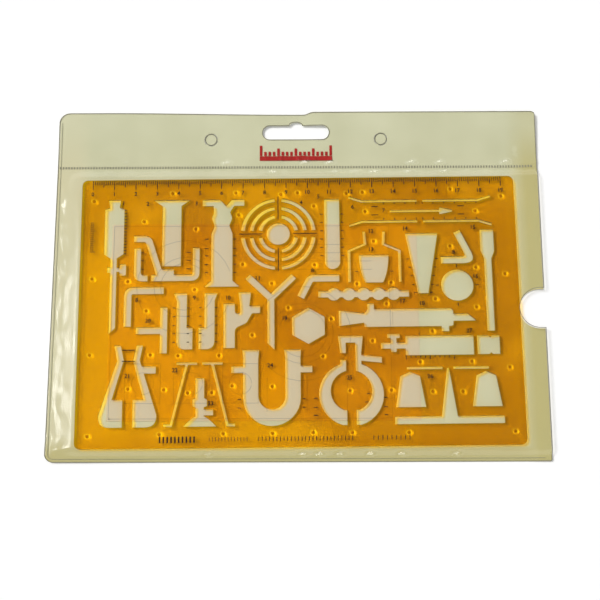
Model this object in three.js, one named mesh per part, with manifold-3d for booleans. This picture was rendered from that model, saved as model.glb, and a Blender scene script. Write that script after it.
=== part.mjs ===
// A drawing stencil for laboratory apparatus, in its clear-fronted pouch with a folded leaflet.
// Millimetres, +Z up. The pouch lies on its back, with its open mouth towards +X and its header towards +Y.
// The origin is under the middle of the pouch.
import * as THREE from 'three';
import { ConvexGeometry } from 'three/addons/geometries/ConvexGeometry.js';
import { mergeVertices } from 'three/addons/utils/BufferGeometryUtils.js';
import Module from 'manifold-3d';

const wasm = await Module();
wasm.setup();

// Stencil plate: its outline, the bevel of its ruler edge, and the rebate under each short edge
const PLATE_WIDTH = 201;
const PLATE_HEIGHT = 126;
const PLATE_THICKNESS = 1.2;
const PLATE_CORNER = 3;
const BEVEL_WIDTH = 3;
const BEVEL_DROP = 0.5;
const REBATE_WIDTH = 1.9;
const REBATE_DEPTH = 0.4;

// Bosses under the plate, which hold it off wet ink
const BOSS_DIAMETER = 3;
const BOSS_TIP = 1.6;
const BOSS_HEIGHT = 0.5;
const BOSS_SIDES = 10;

// Pouch: thicknesses of its sheets, and how far it reaches past the plate
const BACK_SHEET = 0.3;
const FRONT_FILM = 0.2;
const MARGIN_LEFT = 12.75;
const MARGIN_RIGHT = 11.25;
const MARGIN_BOTTOM = 6.4;
const MARGIN_TOP = 6;
const HEADER = 27.1;
const EDGE_WELD = 2;
const SEAM_WELD = 1.5;
const CORNER_TOP_LEFT = 5;
const CORNER_BOTTOM_LEFT = 4;
const CORNER_TOP_RIGHT = 2;
const CORNER_BOTTOM_RIGHT = 0.8;

// How loosely the stencil lies in the pouch: above and below, askew in degrees, and round its edge at the film
const LAY_GAP = 0.12;
const PLATE_TURN = 0.45;
const FILM_EASE = 0.3;

// Thumb notch in the mouth: how wide, how deep, and how high its middle is up the plate
const NOTCH_WIDTH = 18.4;
const NOTCH_DEPTH = 11.3;
const NOTCH_HEIGHT = 63;

// Hang slot in the header, with a bump over its middle, punched a little off centre as the filing discs are
const PUNCH_SHIFT = -0.6;
const SLOT_WIDTH = 31.2;
const SLOT_HEIGHT = 6.7;
const SLOT_BELOW_TOP = 6.7;
const SLOT_BUMP_WIDTH = 6;
const SLOT_BUMP_RISE = 1.7;

// Punched filing discs, still held in the header by ties
const FILING_DIAMETER = 6;
const FILING_SPACING = 80;
const FILING_BELOW_TOP = 13.4;
const FILING_CUT = 0.3;
const FILING_TIE = 0.9;
const FILING_TIES = 3;

// Leaflet, folded once along its left edge
const PAPER = 0.12;
const FOLD_GAP = 0.1;
const LEAFLET_LOWER = 141;
const LEAFLET_UPPER = 129;
const LEAFLET_HEIGHT = 92;
const LEAFLET_FROM_LEFT = 14;
const LEAFLET_FROM_BOTTOM = 12;

// Widths that the cut-outs share: a bent glass tube, and a slit for a single pen line
const TUBE = 3.4;
const TUBE_BEND = 2.6;
const SLIT = 1.2;

// The cut-outs' places are read from the lower left corner of a layout of this size, which follows the plate
const LAYOUT_WIDTH = 201;
const LAYOUT_HEIGHT = 126;

// The cut-outs. Each has its place, and its own sizes from there
const BURETTE = {
  at: [15.4, 52.1],
  stem: 2.9, tip: 2.8, stemLength: 35.7, shoulder: 2, barrel: 9, barrelLength: 21.8,
  collar: 4.5, collarRise: 0.8, mouth: 5.7, mouthRise: 3.7,
  tapHeight: 30.3, plugReach: 2.8, plugHeight: 2.8, keyHeight: 2,
  handleReach: 5.8, handle: 3, handleHeight: 5.6, handleRound: 0.75,
};
const MEASURING_CYLINDER = { at: [42, 83.8], body: 8.7, bodyLength: 29, rim: 17.4, rimRise: 3 };
const WASH_TUBES = {
  at: [32, 78.3],
  width: 3.1, inletLeft: -7.4, inletTop: 18.8, inletBend: -0.8, inletFoot: 5.2,
  legLeft: -5.6, legRight: 21.4, legTop: 14.4, bridge: 1.7, stepLeft: 5.4, stepRight: 11.2, stepTop: 4.2,
};
const GAS_JAR = {
  at: [65.2, 73.8],
  foot: 16.4, footRise: 3, body: 9.7, bodyTop: 25.4, waist: 6.7, waistHeight: 29.3,
  bulge: 9.6, bulgeHeight: 32.8, bulgeRound: 3, neck: 7.4, neckHeight: 35.7, round: 1.6,
  collarLeft: 3.9, collarRight: 5.6, armLeft: 9, armRight: 10.3, armHeight: 38.8, top: 42,
  notch: 5.4, notchDepth: 3.2, notchShift: 1.8, notchRound: 1,
};
const RINGS = { at: [91.2, 98.8], hole: 5.3, radii: [8.4, 12.4, 16.4], slit: 1.7, quarters: 4, web: 3.2 };
const TEST_TUBE = { at: [116.1, 81.6], width: 6.9, height: 33.9 };
const LONG_TUBE = { at: [157, 109.2], bore: 10, mouth: 13.8, straight: 27, length: 33, bridge: 2.6 };
const FLOW_ARROW = { at: [143, 109.2], shaft: 23, head: 6, headWidth: 3.6, tip: 1 };
const BOTTLE = {
  at: [135.3, 75.2],
  neck: 8.4, lip: 9.2, body: 23.2, shoulderHeight: 15, neckHeight: 18.2, height: 24.4,
};
const CRUCIBLE = { at: [135, 75], top: 13.6, bottom: 8, height: 13.2, belly: 13.2, bellyHeight: 5 };
const CONE = { at: [157.2, 69.7], top: 15, bottom: 4.7, height: 28.7 };
const ACUTE_TUBE = { at: [180, 85.4], run: 14.2, rise: 13.8, lean: 6.5 };
const PIPETTE = {
  at: [187.4, 51.8],
  stem: 3.4, stemLength: 34.2, shoulder: 3.6, head: 6.3, headLength: 10.3,
};
const DISC = { at: [172.9, 73.4], radius: 7.4 };
const BULB_CONDENSER = { at: [130, 69.7], length: 41.4, neck: 3.1, bulb: 6.1, bulbs: 5, pitch: 6.8 };
const CONDENSER = {
  at: [130, 58.4],
  cone: 11.5, coneMouth: 7.4, coneEnd: 3.9, body: 8.4, bodyLength: 40.5, shoulder: 1.7, corner: 1.5,
  inlet: 2.9, inletFrom: 1.6, inletRise: 2.6, outlet: 3.4, outletFrom: 35, outletDrop: 2.4,
  drip: 3.4, dripLength: 10.6, dripSlant: 4, dripTop: 1.6,
};
const HEXAGON = { at: [104.6, 55.1], radius: 8.5 };
const TEE_TUBE = { at: [38.9, 53.6], width: 3.2, up: 10.9, down: 10.6, side: 12.6 };
const ELBOW_TUBE = { at: [22.3, 72.4], run: 16.4, drop: 16.9 };
const OBTUSE_TUBE = { at: [105.8, 77.4], run: 13.2, drop: 9, lean: 4.6 };
const BEAKER_HALVES = {
  at: [53.4, 44.7],
  outer: 17.2, column: 8.1, bridge: 2.8, stepHeight: 10.1, height: 26.2, lip: 20, lipHeight: 22.8, corner: 4,
};
const ADAPTER = {
  at: [66.1, 45.1],
  leg: 5.1, legHeight: 20.8, gap: 2.5, gapBottom: 16.1, neck: 4.1, neckTop: 26.1, neckFlare: 5.7,
  stubReach: 16.6, stubBottom: 16.1, stubTop: 19.6,
  bendHeight: 9.2, bendReach: 10.4, bendRise: 11.5, bendRound: 2.8, stubRoot: 12.9, stubRound: 1.2,
};
const WYE_TUBE = { at: [87.6, 68.2], width: 3.1, arm: 10.6, rise: 10.3, crotch: 1.3, stem: 21, tip: 3.1 };
const SUCTION_FLASK = {
  at: [23.3, 9.5],
  mouth: 13, throat: 10.2, base: 26, innerMouth: 7.2, innerThroat: 4.2, innerBase: 14.2, web: 4.6,
  baseHeight: 5.5, landHeight: 12.5, throatHeight: 30.4, height: 37.4, corner: 5,
  stubReach: 12.4, stubFrom: 5.4, stubBottom: 24.3, stubTop: 27.7,
};
const TRIPOD = {
  at: [55.4, 10.2],
  top: 20.8, bridge: 2.2, height: 28, legTop: 11.4, legFoot: 25.2, foot: 32,
};
const BURNER = {
  at: [55.6, 9.6],
  base: 14.8, domeHeight: 4.6, domeReach: 3.6, domeShoulder: 4.1, waist: 3.6, waistTop: 9.2,
  collar: 6.4, collarTop: 12.8, chamfer: 0.6,
  tube: 3.9, height: 21.9, inletReach: 6, inletBottom: 5, inletTop: 7.7,
};
const U_TUBE = {
  at: [87.9, 9.5],
  outer: 25.8, bore: 12.2, outerMouth: 26.4, boreMouth: 11.2, mouthRise: 4, height: 34.7, floor: 7.5,
  armReach: 18.2, armBottom: 24.1, armTop: 27.2,
};
const ROUND_FLASK = {
  at: [123.5, 9.6],
  bulb: 14.5, bulbHeight: 13.9, mouth: 11.2, neck: 9.4, height: 40.6, wallTop: 37.4,
  land: 9.3, landHeight: 15.4, landFlat: 6.8, landNeck: 4.4, web: 4.2, bridgeBottom: 29.6, bridgeTop: 32.6,
  armReach: 14, armBottom: 29.5, armTop: 32.3, armFall: 1.5,
};
const BALANCE = {
  at: [167.1, 9.7],
  base: 48.9, baseHeight: 3.4, pillar: 7.6, pillarTip: 0.9, beamHeight: 25.3, beam: 37, bridge: 4.8,
  panSpacing: 34.2, panBottom: 7.6, panShoulder: 21.7, panTop: 23.7, panBase: 13.4, panWidth: 8.8,
};
const SYRINGE = {
  at: [148.4, 45.4],
  barrel: 30.8, bore: 9, wall: 1.6, plunger: 10.2, plungerBore: 8.7,
  notchFrom: 6.1, notch: 1.6, notchDepth: 0.8, stem: 11.1, stemWidth: 2.8,
  tapFrom: 5.4, tap: 2.6, tapRound: 0.65, tapTop: 3.5, handle: 5.6, handleWidth: 2, knob: 3,
};

// Places of the bosses on the layout, row by row from the ruler edge down
const BOSSES = [
  [42, 119.3], [71.5, 119.3], [92.5, 118.3], [100.2, 119], [123, 118.5], [130.5, 119], [171.5, 120],
  [5.5, 115.8], [195, 116.3], [72.8, 108.5], [107.8, 112.4], [131.5, 109.5], [182.7, 109.3],
  [29, 105.7], [53, 101.8], [135.2, 95], [170.3, 92.3], [5.5, 78.4], [22, 77], [52.7, 72.8], [74.7, 84.6],
  [107.7, 84], [88, 75.4], [127, 74.8], [142.7, 75.2], [181.8, 82], [195, 78.8], [30.7, 63], [95.5, 63.8],
  [115, 58.4], [140.3, 65.2], [162.7, 67.3], [181.3, 63.2], [79, 51.2], [133.5, 48], [160.7, 52.2],
  [5.5, 42.7], [33, 42.5], [45.5, 42], [64, 42], [111, 41], [154.7, 38], [178, 38], [195, 35.2],
  [23.2, 27], [39.3, 26.5], [50, 25], [60.8, 25], [70, 28], [88, 27.5], [122.9, 25.2],
  [141.4, 25.3], [160, 24.4], [173.5, 24.3],
  [5.5, 5.9], [37.5, 6.4], [66, 6.4], [88, 6.4], [106, 6.6], [123.5, 6.4], [148.7, 6.2], [196, 6.2],
];

// Overshoot of cutting solids, curve fineness, and the distance at which vertices count as one
const OVERSHOOT = 2;
const CURVE_STEPS = 8;
const MERGE_DISTANCE = 1e-5;

// Sizes that follow from the driving dimensions
const POUCH_WIDTH = MARGIN_LEFT + PLATE_WIDTH + MARGIN_RIGHT;
const POUCH_HEIGHT = MARGIN_BOTTOM + PLATE_HEIGHT + MARGIN_TOP + HEADER;
const POUCH_LEFT = -POUCH_WIDTH / 2;
const POUCH_RIGHT = POUCH_WIDTH / 2;
const POUCH_BOTTOM = -POUCH_HEIGHT / 2;
const POUCH_TOP = POUCH_HEIGHT / 2;
const SEAM = POUCH_TOP - HEADER;
const PLATE_LEFT = POUCH_LEFT + MARGIN_LEFT;
const PLATE_BOTTOM = POUCH_BOTTOM + MARGIN_BOTTOM;
const PLATE_MIDDLE = [PLATE_LEFT + PLATE_WIDTH / 2, PLATE_BOTTOM + PLATE_HEIGHT / 2];
const TURN = THREE.MathUtils.degToRad(PLATE_TURN);
const TURNED_WIDTH = PLATE_WIDTH * Math.cos(TURN) + PLATE_HEIGHT * Math.sin(TURN);
const TURNED_HEIGHT = PLATE_HEIGHT * Math.cos(TURN) + PLATE_WIDTH * Math.sin(TURN);
const LEAFLET_THICKNESS = 2 * PAPER + FOLD_GAP;
const PLATE_UNDERSIDE = BACK_SHEET + LEAFLET_THICKNESS + LAY_GAP + BOSS_HEIGHT;
const FILM_UNDERSIDE = PLATE_UNDERSIDE + PLATE_THICKNESS + LAY_GAP;

// A closed outline through corners [x, y] or [x, y, radius], with a curve at each corner that has a radius
function outline(corners) {
  const shape = new THREE.Shape();
  const points = corners.map(([x, y]) => new THREE.Vector2(x, y));
  corners.forEach(([, , radius = 0], i) => {
    const corner = points[i];
    const back = points.at(i - 1).clone().sub(corner).normalize();
    const ahead = points[(i + 1) % points.length].clone().sub(corner).normalize();
    const reach = radius / Math.tan(back.angleTo(ahead) / 2);
    const start = corner.clone().addScaledVector(back, reach);
    const end = corner.clone().addScaledVector(ahead, reach);
    if (i === 0) shape.moveTo(start.x, start.y);
    else shape.lineTo(start.x, start.y);
    if (radius > 0) shape.quadraticCurveTo(corner.x, corner.y, end.x, end.y);
  });
  return shape;
}

// The corners of a shape that is the same on both sides of x = 0, from those of its right side
function mirrored(corners) {
  const left = corners.filter(([x]) => x !== 0).map(([x, y, radius]) => [-x, y, radius]);
  return [...corners, ...left.reverse()];
}

// The outline of one half of a pair, on the right for side 1 and on the left for side -1
function half(side, corners) {
  return outline(corners.map(([x, y, radius]) => [side * x, y, radius]));
}

function rectangle(left, bottom, right, top, radius = 0) {
  return outline([
    [left, bottom, radius], [right, bottom, radius], [right, top, radius], [left, top, radius],
  ]);
}

function circle(radius, x = 0) {
  const shape = new THREE.Shape();
  shape.absarc(x, 0, radius, 0, Math.PI);
  shape.absarc(x, 0, radius, Math.PI, 2 * Math.PI);
  return shape;
}

// A slit along an arc, between two angles
function arcSlit(radius, width, from, to) {
  const shape = new THREE.Shape();
  shape.absarc(0, 0, radius + width / 2, from, to);
  shape.absarc(0, 0, radius - width / 2, to, from, true);
  return shape;
}

// Arc slits round a circle, with an equal web left between each and the next
function brokenRing(radius, width, count, web) {
  const clear = Math.asin(web / 2 / radius);
  const step = (2 * Math.PI) / count;
  const starts = Array.from({ length: count }, (_, i) => i * step);
  return starts.map((start) => arcSlit(radius, width, start + clear, start + step - clear));
}

// The outline of a tube or slit that follows a path of points, rounded at its bends
function tube(path, width, bend = 0) {
  const points = path.map(([x, y]) => new THREE.Vector2(x, y));
  const along = points.slice(1).map((point, i) => point.clone().sub(points[i]).normalize());
  const side = (sign) => points.map((point, i) => {
    const before = along[Math.max(i - 1, 0)];
    const after = along[Math.min(i, along.length - 1)];
    const normal = new THREE.Vector2(-before.y, before.x);
    const mitre = normal.clone().add(new THREE.Vector2(-after.y, after.x)).normalize();
    const corner = point.clone().addScaledVector(mitre, (sign * width) / 2 / mitre.dot(normal));
    const turn = Math.sign(before.cross(after));
    const radius = turn === 0 || bend === 0 ? 0 : Math.max(bend - (turn * sign * width) / 2, 0);
    return [corner.x, corner.y, radius];
  });
  return outline([...side(1), ...side(-1).reverse()]);
}

// A closed mesh as a solid that can be joined and cut
function solid(geometry) {
  geometry.deleteAttribute('normal');
  geometry.deleteAttribute('uv');
  const merged = mergeVertices(geometry, MERGE_DISTANCE);
  const vertProperties = merged.getAttribute('position').array;
  const triVerts = Uint32Array.from(merged.index.array);
  return new wasm.Manifold(new wasm.Mesh({ numProp: 3, vertProperties, triVerts }));
}

function prism(shape, bottom, top, at = [0, 0]) {
  const geometry = new THREE.ExtrudeGeometry(shape, {
    depth: top - bottom,
    bevelEnabled: false,
    curveSegments: CURVE_STEPS,
  });
  geometry.translate(at[0], at[1], bottom);
  return solid(geometry);
}

function cutAll(body, cutters) {
  return cutters.reduce((rest, cutter) => rest.subtract(cutter), body);
}

function named(name, geometry, material) {
  const mesh = new THREE.Mesh(geometry, new THREE.MeshStandardMaterial(material));
  mesh.name = name;
  return mesh;
}

function geometryOf(body) {
  const { vertProperties, triVerts } = body.getMesh();
  const geometry = new THREE.BufferGeometry();
  geometry.setAttribute('position', new THREE.BufferAttribute(vertProperties, 3));
  geometry.setIndex(new THREE.BufferAttribute(triVerts, 1));
  geometry.computeVertexNormals();
  return geometry;
}

// Burette: a slanted tip, a tap on its stem, a barrel and a flared mouth
function burette(s) {
  const barrelFoot = s.stemLength + s.shoulder;
  const barrelTop = barrelFoot + s.barrelLength;
  const collarTop = barrelTop + s.collarRise;
  const side = [
    [s.stem / 2, s.stemLength], [s.barrel / 2, barrelFoot], [s.barrel / 2, barrelTop],
    [s.collar / 2, collarTop], [s.mouth / 2, collarTop + s.mouthRise],
  ];
  const glass = outline([[-s.stem / 2, 0], [s.stem / 2, s.tip], ...mirrored(side)]);
  const low = (height) => s.tapHeight - height / 2;
  const high = (height) => s.tapHeight + height / 2;
  const plug = rectangle(-s.plugReach, low(s.plugHeight), 0, high(s.plugHeight));
  const key = rectangle(0, low(s.keyHeight), s.handleReach, high(s.keyHeight));
  const grip = rectangle(
    s.handleReach - s.handle, low(s.handleHeight), s.handleReach, high(s.handleHeight), s.handleRound,
  );
  return [glass, plug, key, grip];
}

function measuringCylinder(s) {
  return [outline(mirrored([
    [s.body / 2, 0], [s.body / 2, s.bodyLength], [s.rim / 2, s.bodyLength + s.rimRise],
  ]))];
}

// Bent tubes of a wash bottle: a slanting inlet, and two legs that a bridge parts
function washTubes(s) {
  return [
    tube([[s.inletLeft, s.inletTop], [s.inletBend, s.inletTop], [s.inletFoot, 0]], s.width, TUBE_BEND),
    tube([[s.legLeft, s.legTop], [s.legLeft, 0], [-s.bridge / 2, 0]], s.width, TUBE_BEND),
    tube([[s.bridge / 2, 0], [s.legRight, 0], [s.legRight, s.legTop]], s.width, TUBE_BEND),
    rectangle(s.stepLeft, 0, s.stepRight, s.stepTop),
  ];
}

// Gas jar: a flared foot, a waist, a bulge and a neck, and two arms with a notch between them
function gasJar(s) {
  const notchRight = s.notchShift + s.notch / 2;
  const notchLeft = s.notchShift - s.notch / 2;
  const side = [
    [s.foot / 2, 0], [s.body / 2, s.footRise], [s.body / 2, s.bodyTop, s.round],
    [s.waist / 2, s.waistHeight, s.round], [s.bulge / 2, s.bulgeHeight, s.bulgeRound],
    [s.neck / 2, s.neckHeight, s.round],
  ];
  const left = side.map(([x, y, radius]) => [-x, y, radius]).reverse();
  const top = [
    [s.collarRight, s.armHeight], [s.armRight, s.armHeight], [s.armRight, s.top],
    [notchRight, s.top, s.notchRound], [s.notchShift, s.top - s.notchDepth], [notchLeft, s.top, s.notchRound],
    [-s.armLeft, s.top], [-s.armLeft, s.armHeight], [-s.collarLeft, s.armHeight],
  ];
  return [outline([...side, ...top, ...left])];
}

function rings(s) {
  return [circle(s.hole), ...s.radii.flatMap((radius) => brokenRing(radius, s.slit, s.quarters, s.web))];
}

function testTube(s) {
  const radius = s.width / 2;
  const shape = new THREE.Shape();
  shape.moveTo(radius, s.height);
  shape.lineTo(-radius, s.height);
  shape.absarc(0, radius, radius, Math.PI, 2 * Math.PI);
  return [shape];
}

// Long tube in outline: four slits with flared mouths, parted by a bridge in the middle
function longTube(s) {
  const slit = (sideX, sideY) => tube([
    [sideX * s.bridge / 2, sideY * s.bore / 2],
    [sideX * s.straight, sideY * s.bore / 2],
    [sideX * s.length, sideY * s.mouth / 2],
  ], SLIT);
  return [slit(1, 1), slit(-1, 1), slit(1, -1), slit(-1, -1)];
}

function flowArrow(s) {
  const upper = [
    [0, SLIT / 2], [s.shaft, SLIT / 2], [s.shaft, s.headWidth / 2], [s.shaft + s.head, s.tip / 2],
  ];
  return [outline([...upper, ...upper.map(([x, y]) => [x, -y]).reverse()])];
}

function bottle(s) {
  return [1, -1].map((side) => tube([
    [side * s.lip / 2, s.height],
    [side * s.neck / 2, s.neckHeight],
    [side * s.body / 2, s.shoulderHeight],
    [side * s.body / 2, 0],
  ], SLIT));
}

function crucible(s) {
  const shape = new THREE.Shape();
  shape.moveTo(-s.bottom / 2, 0);
  shape.lineTo(s.bottom / 2, 0);
  shape.quadraticCurveTo(s.belly / 2, s.bellyHeight, s.top / 2, s.height);
  shape.lineTo(-s.top / 2, s.height);
  shape.quadraticCurveTo(-s.belly / 2, s.bellyHeight, -s.bottom / 2, 0);
  return [shape];
}

function cone(s) {
  return [outline(mirrored([[s.bottom / 2, 0], [s.top / 2, s.height]]))];
}

function acuteTube(s) {
  return [tube([[-s.run, 0], [0, 0], [-s.lean, s.rise]], TUBE, TUBE_BEND)];
}

function pipette(s) {
  const headFoot = s.stemLength + s.shoulder;
  return [outline(mirrored([
    [s.stem / 2, 0], [s.stem / 2, s.stemLength],
    [s.head / 2, headFoot], [s.head / 2, headFoot + s.headLength],
  ]))];
}

function disc(s) {
  return [circle(s.radius)];
}

// Bulb condenser: a row of round bulbs along a straight tube
function bulbCondenser(s) {
  const first = -((s.bulbs - 1) * s.pitch) / 2;
  const bulbs = Array.from({ length: s.bulbs }, (_, i) => circle(s.bulb / 2, first + i * s.pitch));
  return [rectangle(-s.length / 2, -s.neck / 2, s.length / 2, s.neck / 2), ...bulbs];
}

// Condenser: a cone, a jacket with an inlet on top and an outlet below, and a drip tip
function condenser(s) {
  const half = s.body / 2;
  const jacketRight = s.bodyLength;
  const jacket = outline([
    [0, -half], [jacketRight, -half, s.corner], [jacketRight, half, s.corner],
    [s.shoulder, half], [0, s.coneEnd / 2],
  ]);
  const mouth = outline([
    [-s.cone, -s.coneMouth / 2], [OVERSHOOT, -s.coneEnd / 2],
    [OVERSHOOT, s.coneEnd / 2], [-s.cone, s.coneMouth / 2],
  ]);
  const inlet = rectangle(s.inletFrom, 0, s.inletFrom + s.inlet, half + s.inletRise);
  const outlet = rectangle(s.outletFrom, -half - s.outletDrop, s.outletFrom + s.outlet, 0);
  const dripEnd = jacketRight + s.dripLength;
  const drip = outline([
    [jacketRight - s.corner, s.dripTop - s.drip], [dripEnd, s.dripTop - s.drip],
    [dripEnd - s.dripSlant, s.dripTop], [jacketRight - s.corner, s.dripTop],
  ]);
  return [jacket, mouth, inlet, outlet, drip];
}

function hexagon(s) {
  const corner = (i) => [s.radius * Math.sin(i * Math.PI / 3), s.radius * Math.cos(i * Math.PI / 3)];
  return [outline(Array.from({ length: 6 }, (_, i) => corner(i)))];
}

function teeTube(s) {
  return [tube([[0, -s.down], [0, s.up]], s.width), tube([[-s.side, 0], [0, 0]], s.width)];
}

function elbowTube(s) {
  return [tube([[s.run, 0], [0, 0], [0, -s.drop]], TUBE, TUBE_BEND)];
}

function obtuseTube(s) {
  return [tube([[s.run, 0], [0, 0], [-s.lean, -s.drop]], TUBE, TUBE_BEND)];
}

function beakerHalves(s) {
  const inner = s.bridge / 2;
  const outer = s.outer / 2;
  return [1, -1].map((side) => half(side, [
    [inner, 0], [outer, 0, s.corner], [outer, s.lipHeight], [s.lip / 2, s.height],
    [s.column / 2, s.height], [s.column / 2, s.stepHeight], [inner, s.stepHeight],
  ]));
}

// Adapter: a straight leg, a second flared neck beside it, and a side stub
function adapter(s) {
  const neckLeft = s.leg + s.gap;
  const neckRight = neckLeft + s.neck;
  const flare = (s.neckFlare - s.neck) / 2;
  return [outline([
    [0, 0], [s.leg, 0], [s.leg, s.bendHeight, s.bendRound], [s.bendReach, s.bendRise, s.bendRound],
    [s.stubRoot, s.stubBottom, s.stubRound], [s.stubReach, s.stubBottom], [s.stubReach, s.stubTop],
    [neckRight, s.stubTop], [neckRight + flare, s.neckTop], [neckLeft - flare, s.neckTop],
    [neckLeft, s.stubTop], [neckLeft, s.gapBottom, s.gap / 2], [s.leg, s.gapBottom, s.gap / 2],
    [s.leg, s.legHeight], [0, s.legHeight],
  ])];
}

function wyeTube(s) {
  const arm = (side) => tube([[0, 0], [side * s.arm, s.rise]], s.width);
  const stem = outline([
    [-s.width / 2, -s.stem], [s.width / 2, -s.stem - s.tip],
    [s.width / 2, s.crotch], [-s.width / 2, s.crotch],
  ]);
  return [arm(1), arm(-1), stem];
}

// Suction flask: two halves round a standing land, and a side stub on the right
function suctionFlask(s) {
  const wall = (side) => half(side, [
    [s.web / 2, 0], [s.base / 2, 0, s.corner], [s.base / 2, s.baseHeight], [s.throat / 2, s.throatHeight],
    [s.mouth / 2, s.height], [s.innerMouth / 2, s.height], [s.innerThroat / 2, s.throatHeight],
    [s.innerBase / 2, s.landHeight], [s.web / 2, s.landHeight],
  ]);
  return [wall(1), wall(-1), rectangle(s.stubFrom, s.stubBottom, s.stubReach, s.stubTop)];
}

function tripod(s) {
  return [1, -1].flatMap((side) => [
    tube([[side * s.bridge / 2, s.height], [side * s.top / 2, s.height]], SLIT),
    tube([[side * s.legTop / 2, s.height], [side * s.legFoot / 2, 0], [side * s.foot / 2, 0]], SLIT),
  ]);
}

// Burner: a domed base, a waist with the gas inlet, a collar and a tube
function burner(s) {
  const stand = new THREE.Shape();
  stand.moveTo(-s.base / 2, 0);
  stand.lineTo(s.base / 2, 0);
  stand.quadraticCurveTo(s.domeReach, s.domeShoulder, s.waist / 2, s.domeHeight);
  stand.lineTo(-s.waist / 2, s.domeHeight);
  stand.quadraticCurveTo(-s.domeReach, s.domeShoulder, -s.base / 2, 0);
  const stack = outline(mirrored([
    [s.waist / 2, s.domeHeight / 2], [s.waist / 2, s.waistTop - s.chamfer], [s.collar / 2, s.waistTop],
    [s.collar / 2, s.collarTop - s.chamfer], [s.tube / 2, s.collarTop], [s.tube / 2, s.height],
  ]));
  return [stand, stack, rectangle(0, s.inletBottom, s.inletReach, s.inletTop)];
}

function uTube(s) {
  const outer = s.outer / 2;
  const bore = s.bore / 2;
  const wall = (outer + bore) / 2;
  const mouthFoot = s.height - s.mouthRise;
  const shape = new THREE.Shape();
  shape.moveTo(s.outerMouth / 2, s.height);
  shape.lineTo(s.boreMouth / 2, s.height);
  shape.lineTo(bore, mouthFoot);
  shape.absarc(0, s.floor + bore, bore, 0, Math.PI, true);
  shape.lineTo(-bore, mouthFoot);
  shape.lineTo(-s.boreMouth / 2, s.height);
  shape.lineTo(-s.outerMouth / 2, s.height);
  shape.lineTo(-outer, mouthFoot);
  shape.absarc(0, outer, outer, Math.PI, 2 * Math.PI);
  shape.lineTo(outer, mouthFoot);
  const arms = [1, -1].map((side) => half(side, [
    [wall, s.armBottom], [s.armReach, s.armBottom], [s.armReach, s.armTop], [wall, s.armTop],
  ]));
  return [shape, ...arms];
}

// A round body with a flat bottom, as an arc that the flat closes
function flatBottomed(radius, height, flat) {
  const start = Math.asin((flat - height) / radius);
  const shape = new THREE.Shape();
  shape.absarc(0, height, radius, start, Math.PI / 2);
  shape.absarc(0, height, radius, Math.PI / 2, Math.PI - start);
  return shape;
}

// Round flask: bulb, neck and side arm
function roundFlask(s) {
  const neck = outline(mirrored([
    [s.neck / 2, s.bulbHeight], [s.neck / 2, s.bridgeTop], [s.mouth / 2, s.height],
  ]));
  const arm = outline([
    [0, s.armBottom], [s.armReach, s.armBottom - s.armFall],
    [s.armReach, s.armTop - s.armFall], [0, s.armTop],
  ]);
  return [flatBottomed(s.bulb, s.bulbHeight, 0), neck, arm];
}

// What stands inside the round flask: its middle, with a web below and a bridge through the left wall
function roundFlaskLands(s) {
  return [
    flatBottomed(s.land, s.landHeight, s.landFlat),
    rectangle(-s.landNeck / 2, s.landHeight, s.landNeck / 2, s.wallTop),
    rectangle(-s.web / 2, -OVERSHOOT, s.web / 2, s.landHeight),
    rectangle(-s.mouth, s.bridgeBottom, 0, s.bridgeTop),
  ];
}

function balance(s) {
  const base = rectangle(-s.base / 2, 0, s.base / 2, s.baseHeight);
  const pillar = outline(mirrored([[s.pillar / 2, s.baseHeight / 2], [s.pillarTip / 2, s.beamHeight]]));
  const pairs = [1, -1].flatMap((side) => {
    const middle = s.panSpacing / 2;
    const pan = mirrored([[s.panBase / 2, s.panBottom], [s.panWidth / 2, s.panShoulder], [0, s.panTop]]);
    return [
      tube([[side * s.bridge / 2, s.beamHeight], [side * s.beam / 2, s.beamHeight]], SLIT),
      half(side, pan.map(([x, y]) => [x + middle, y])),
    ];
  });
  return [base, pillar, ...pairs];
}

// Gas syringe: barrel, plunger with two notches, and a stem with a tap
function syringe(s) {
  const plungerLeft = s.barrel + s.wall;
  const plungerRight = plungerLeft + s.plunger;
  const edge = s.plungerBore / 2;
  const notchMiddle = plungerLeft + s.notchFrom;
  const upper = [
    [plungerRight, edge], [notchMiddle + s.notch / 2, edge], [notchMiddle, edge - s.notchDepth],
    [notchMiddle - s.notch / 2, edge], [plungerLeft, edge],
  ];
  const plunger = outline([...upper, ...upper.map(([x, y]) => [x, -y]).reverse()]);
  const barrel = rectangle(0, -s.bore / 2, s.barrel, s.bore / 2);
  const stem = rectangle(-s.stem, -s.stemWidth / 2, OVERSHOOT, s.stemWidth / 2);
  const handleTop = s.tapTop + s.handleWidth;
  const tap = rectangle(-s.tapFrom - s.tap / 2, -s.knob, -s.tapFrom + s.tap / 2, handleTop, s.tapRound);
  const handleLeft = -s.tapFrom - s.handle / 2;
  const handle = rectangle(handleLeft, s.tapTop, handleLeft + s.handle, handleTop);
  return [barrel, plunger, stem, tap, handle];
}

const SYMBOLS = [
  [burette, BURETTE], [measuringCylinder, MEASURING_CYLINDER], [washTubes, WASH_TUBES], [gasJar, GAS_JAR],
  [rings, RINGS], [testTube, TEST_TUBE], [longTube, LONG_TUBE], [flowArrow, FLOW_ARROW], [bottle, BOTTLE],
  [crucible, CRUCIBLE], [cone, CONE], [acuteTube, ACUTE_TUBE], [pipette, PIPETTE], [disc, DISC],
  [bulbCondenser, BULB_CONDENSER], [condenser, CONDENSER], [hexagon, HEXAGON], [teeTube, TEE_TUBE],
  [elbowTube, ELBOW_TUBE], [obtuseTube, OBTUSE_TUBE], [beakerHalves, BEAKER_HALVES], [adapter, ADAPTER],
  [wyeTube, WYE_TUBE], [suctionFlask, SUCTION_FLASK], [tripod, TRIPOD], [burner, BURNER], [uTube, U_TUBE],
  [balance, BALANCE], [syringe, SYRINGE],
];

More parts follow.
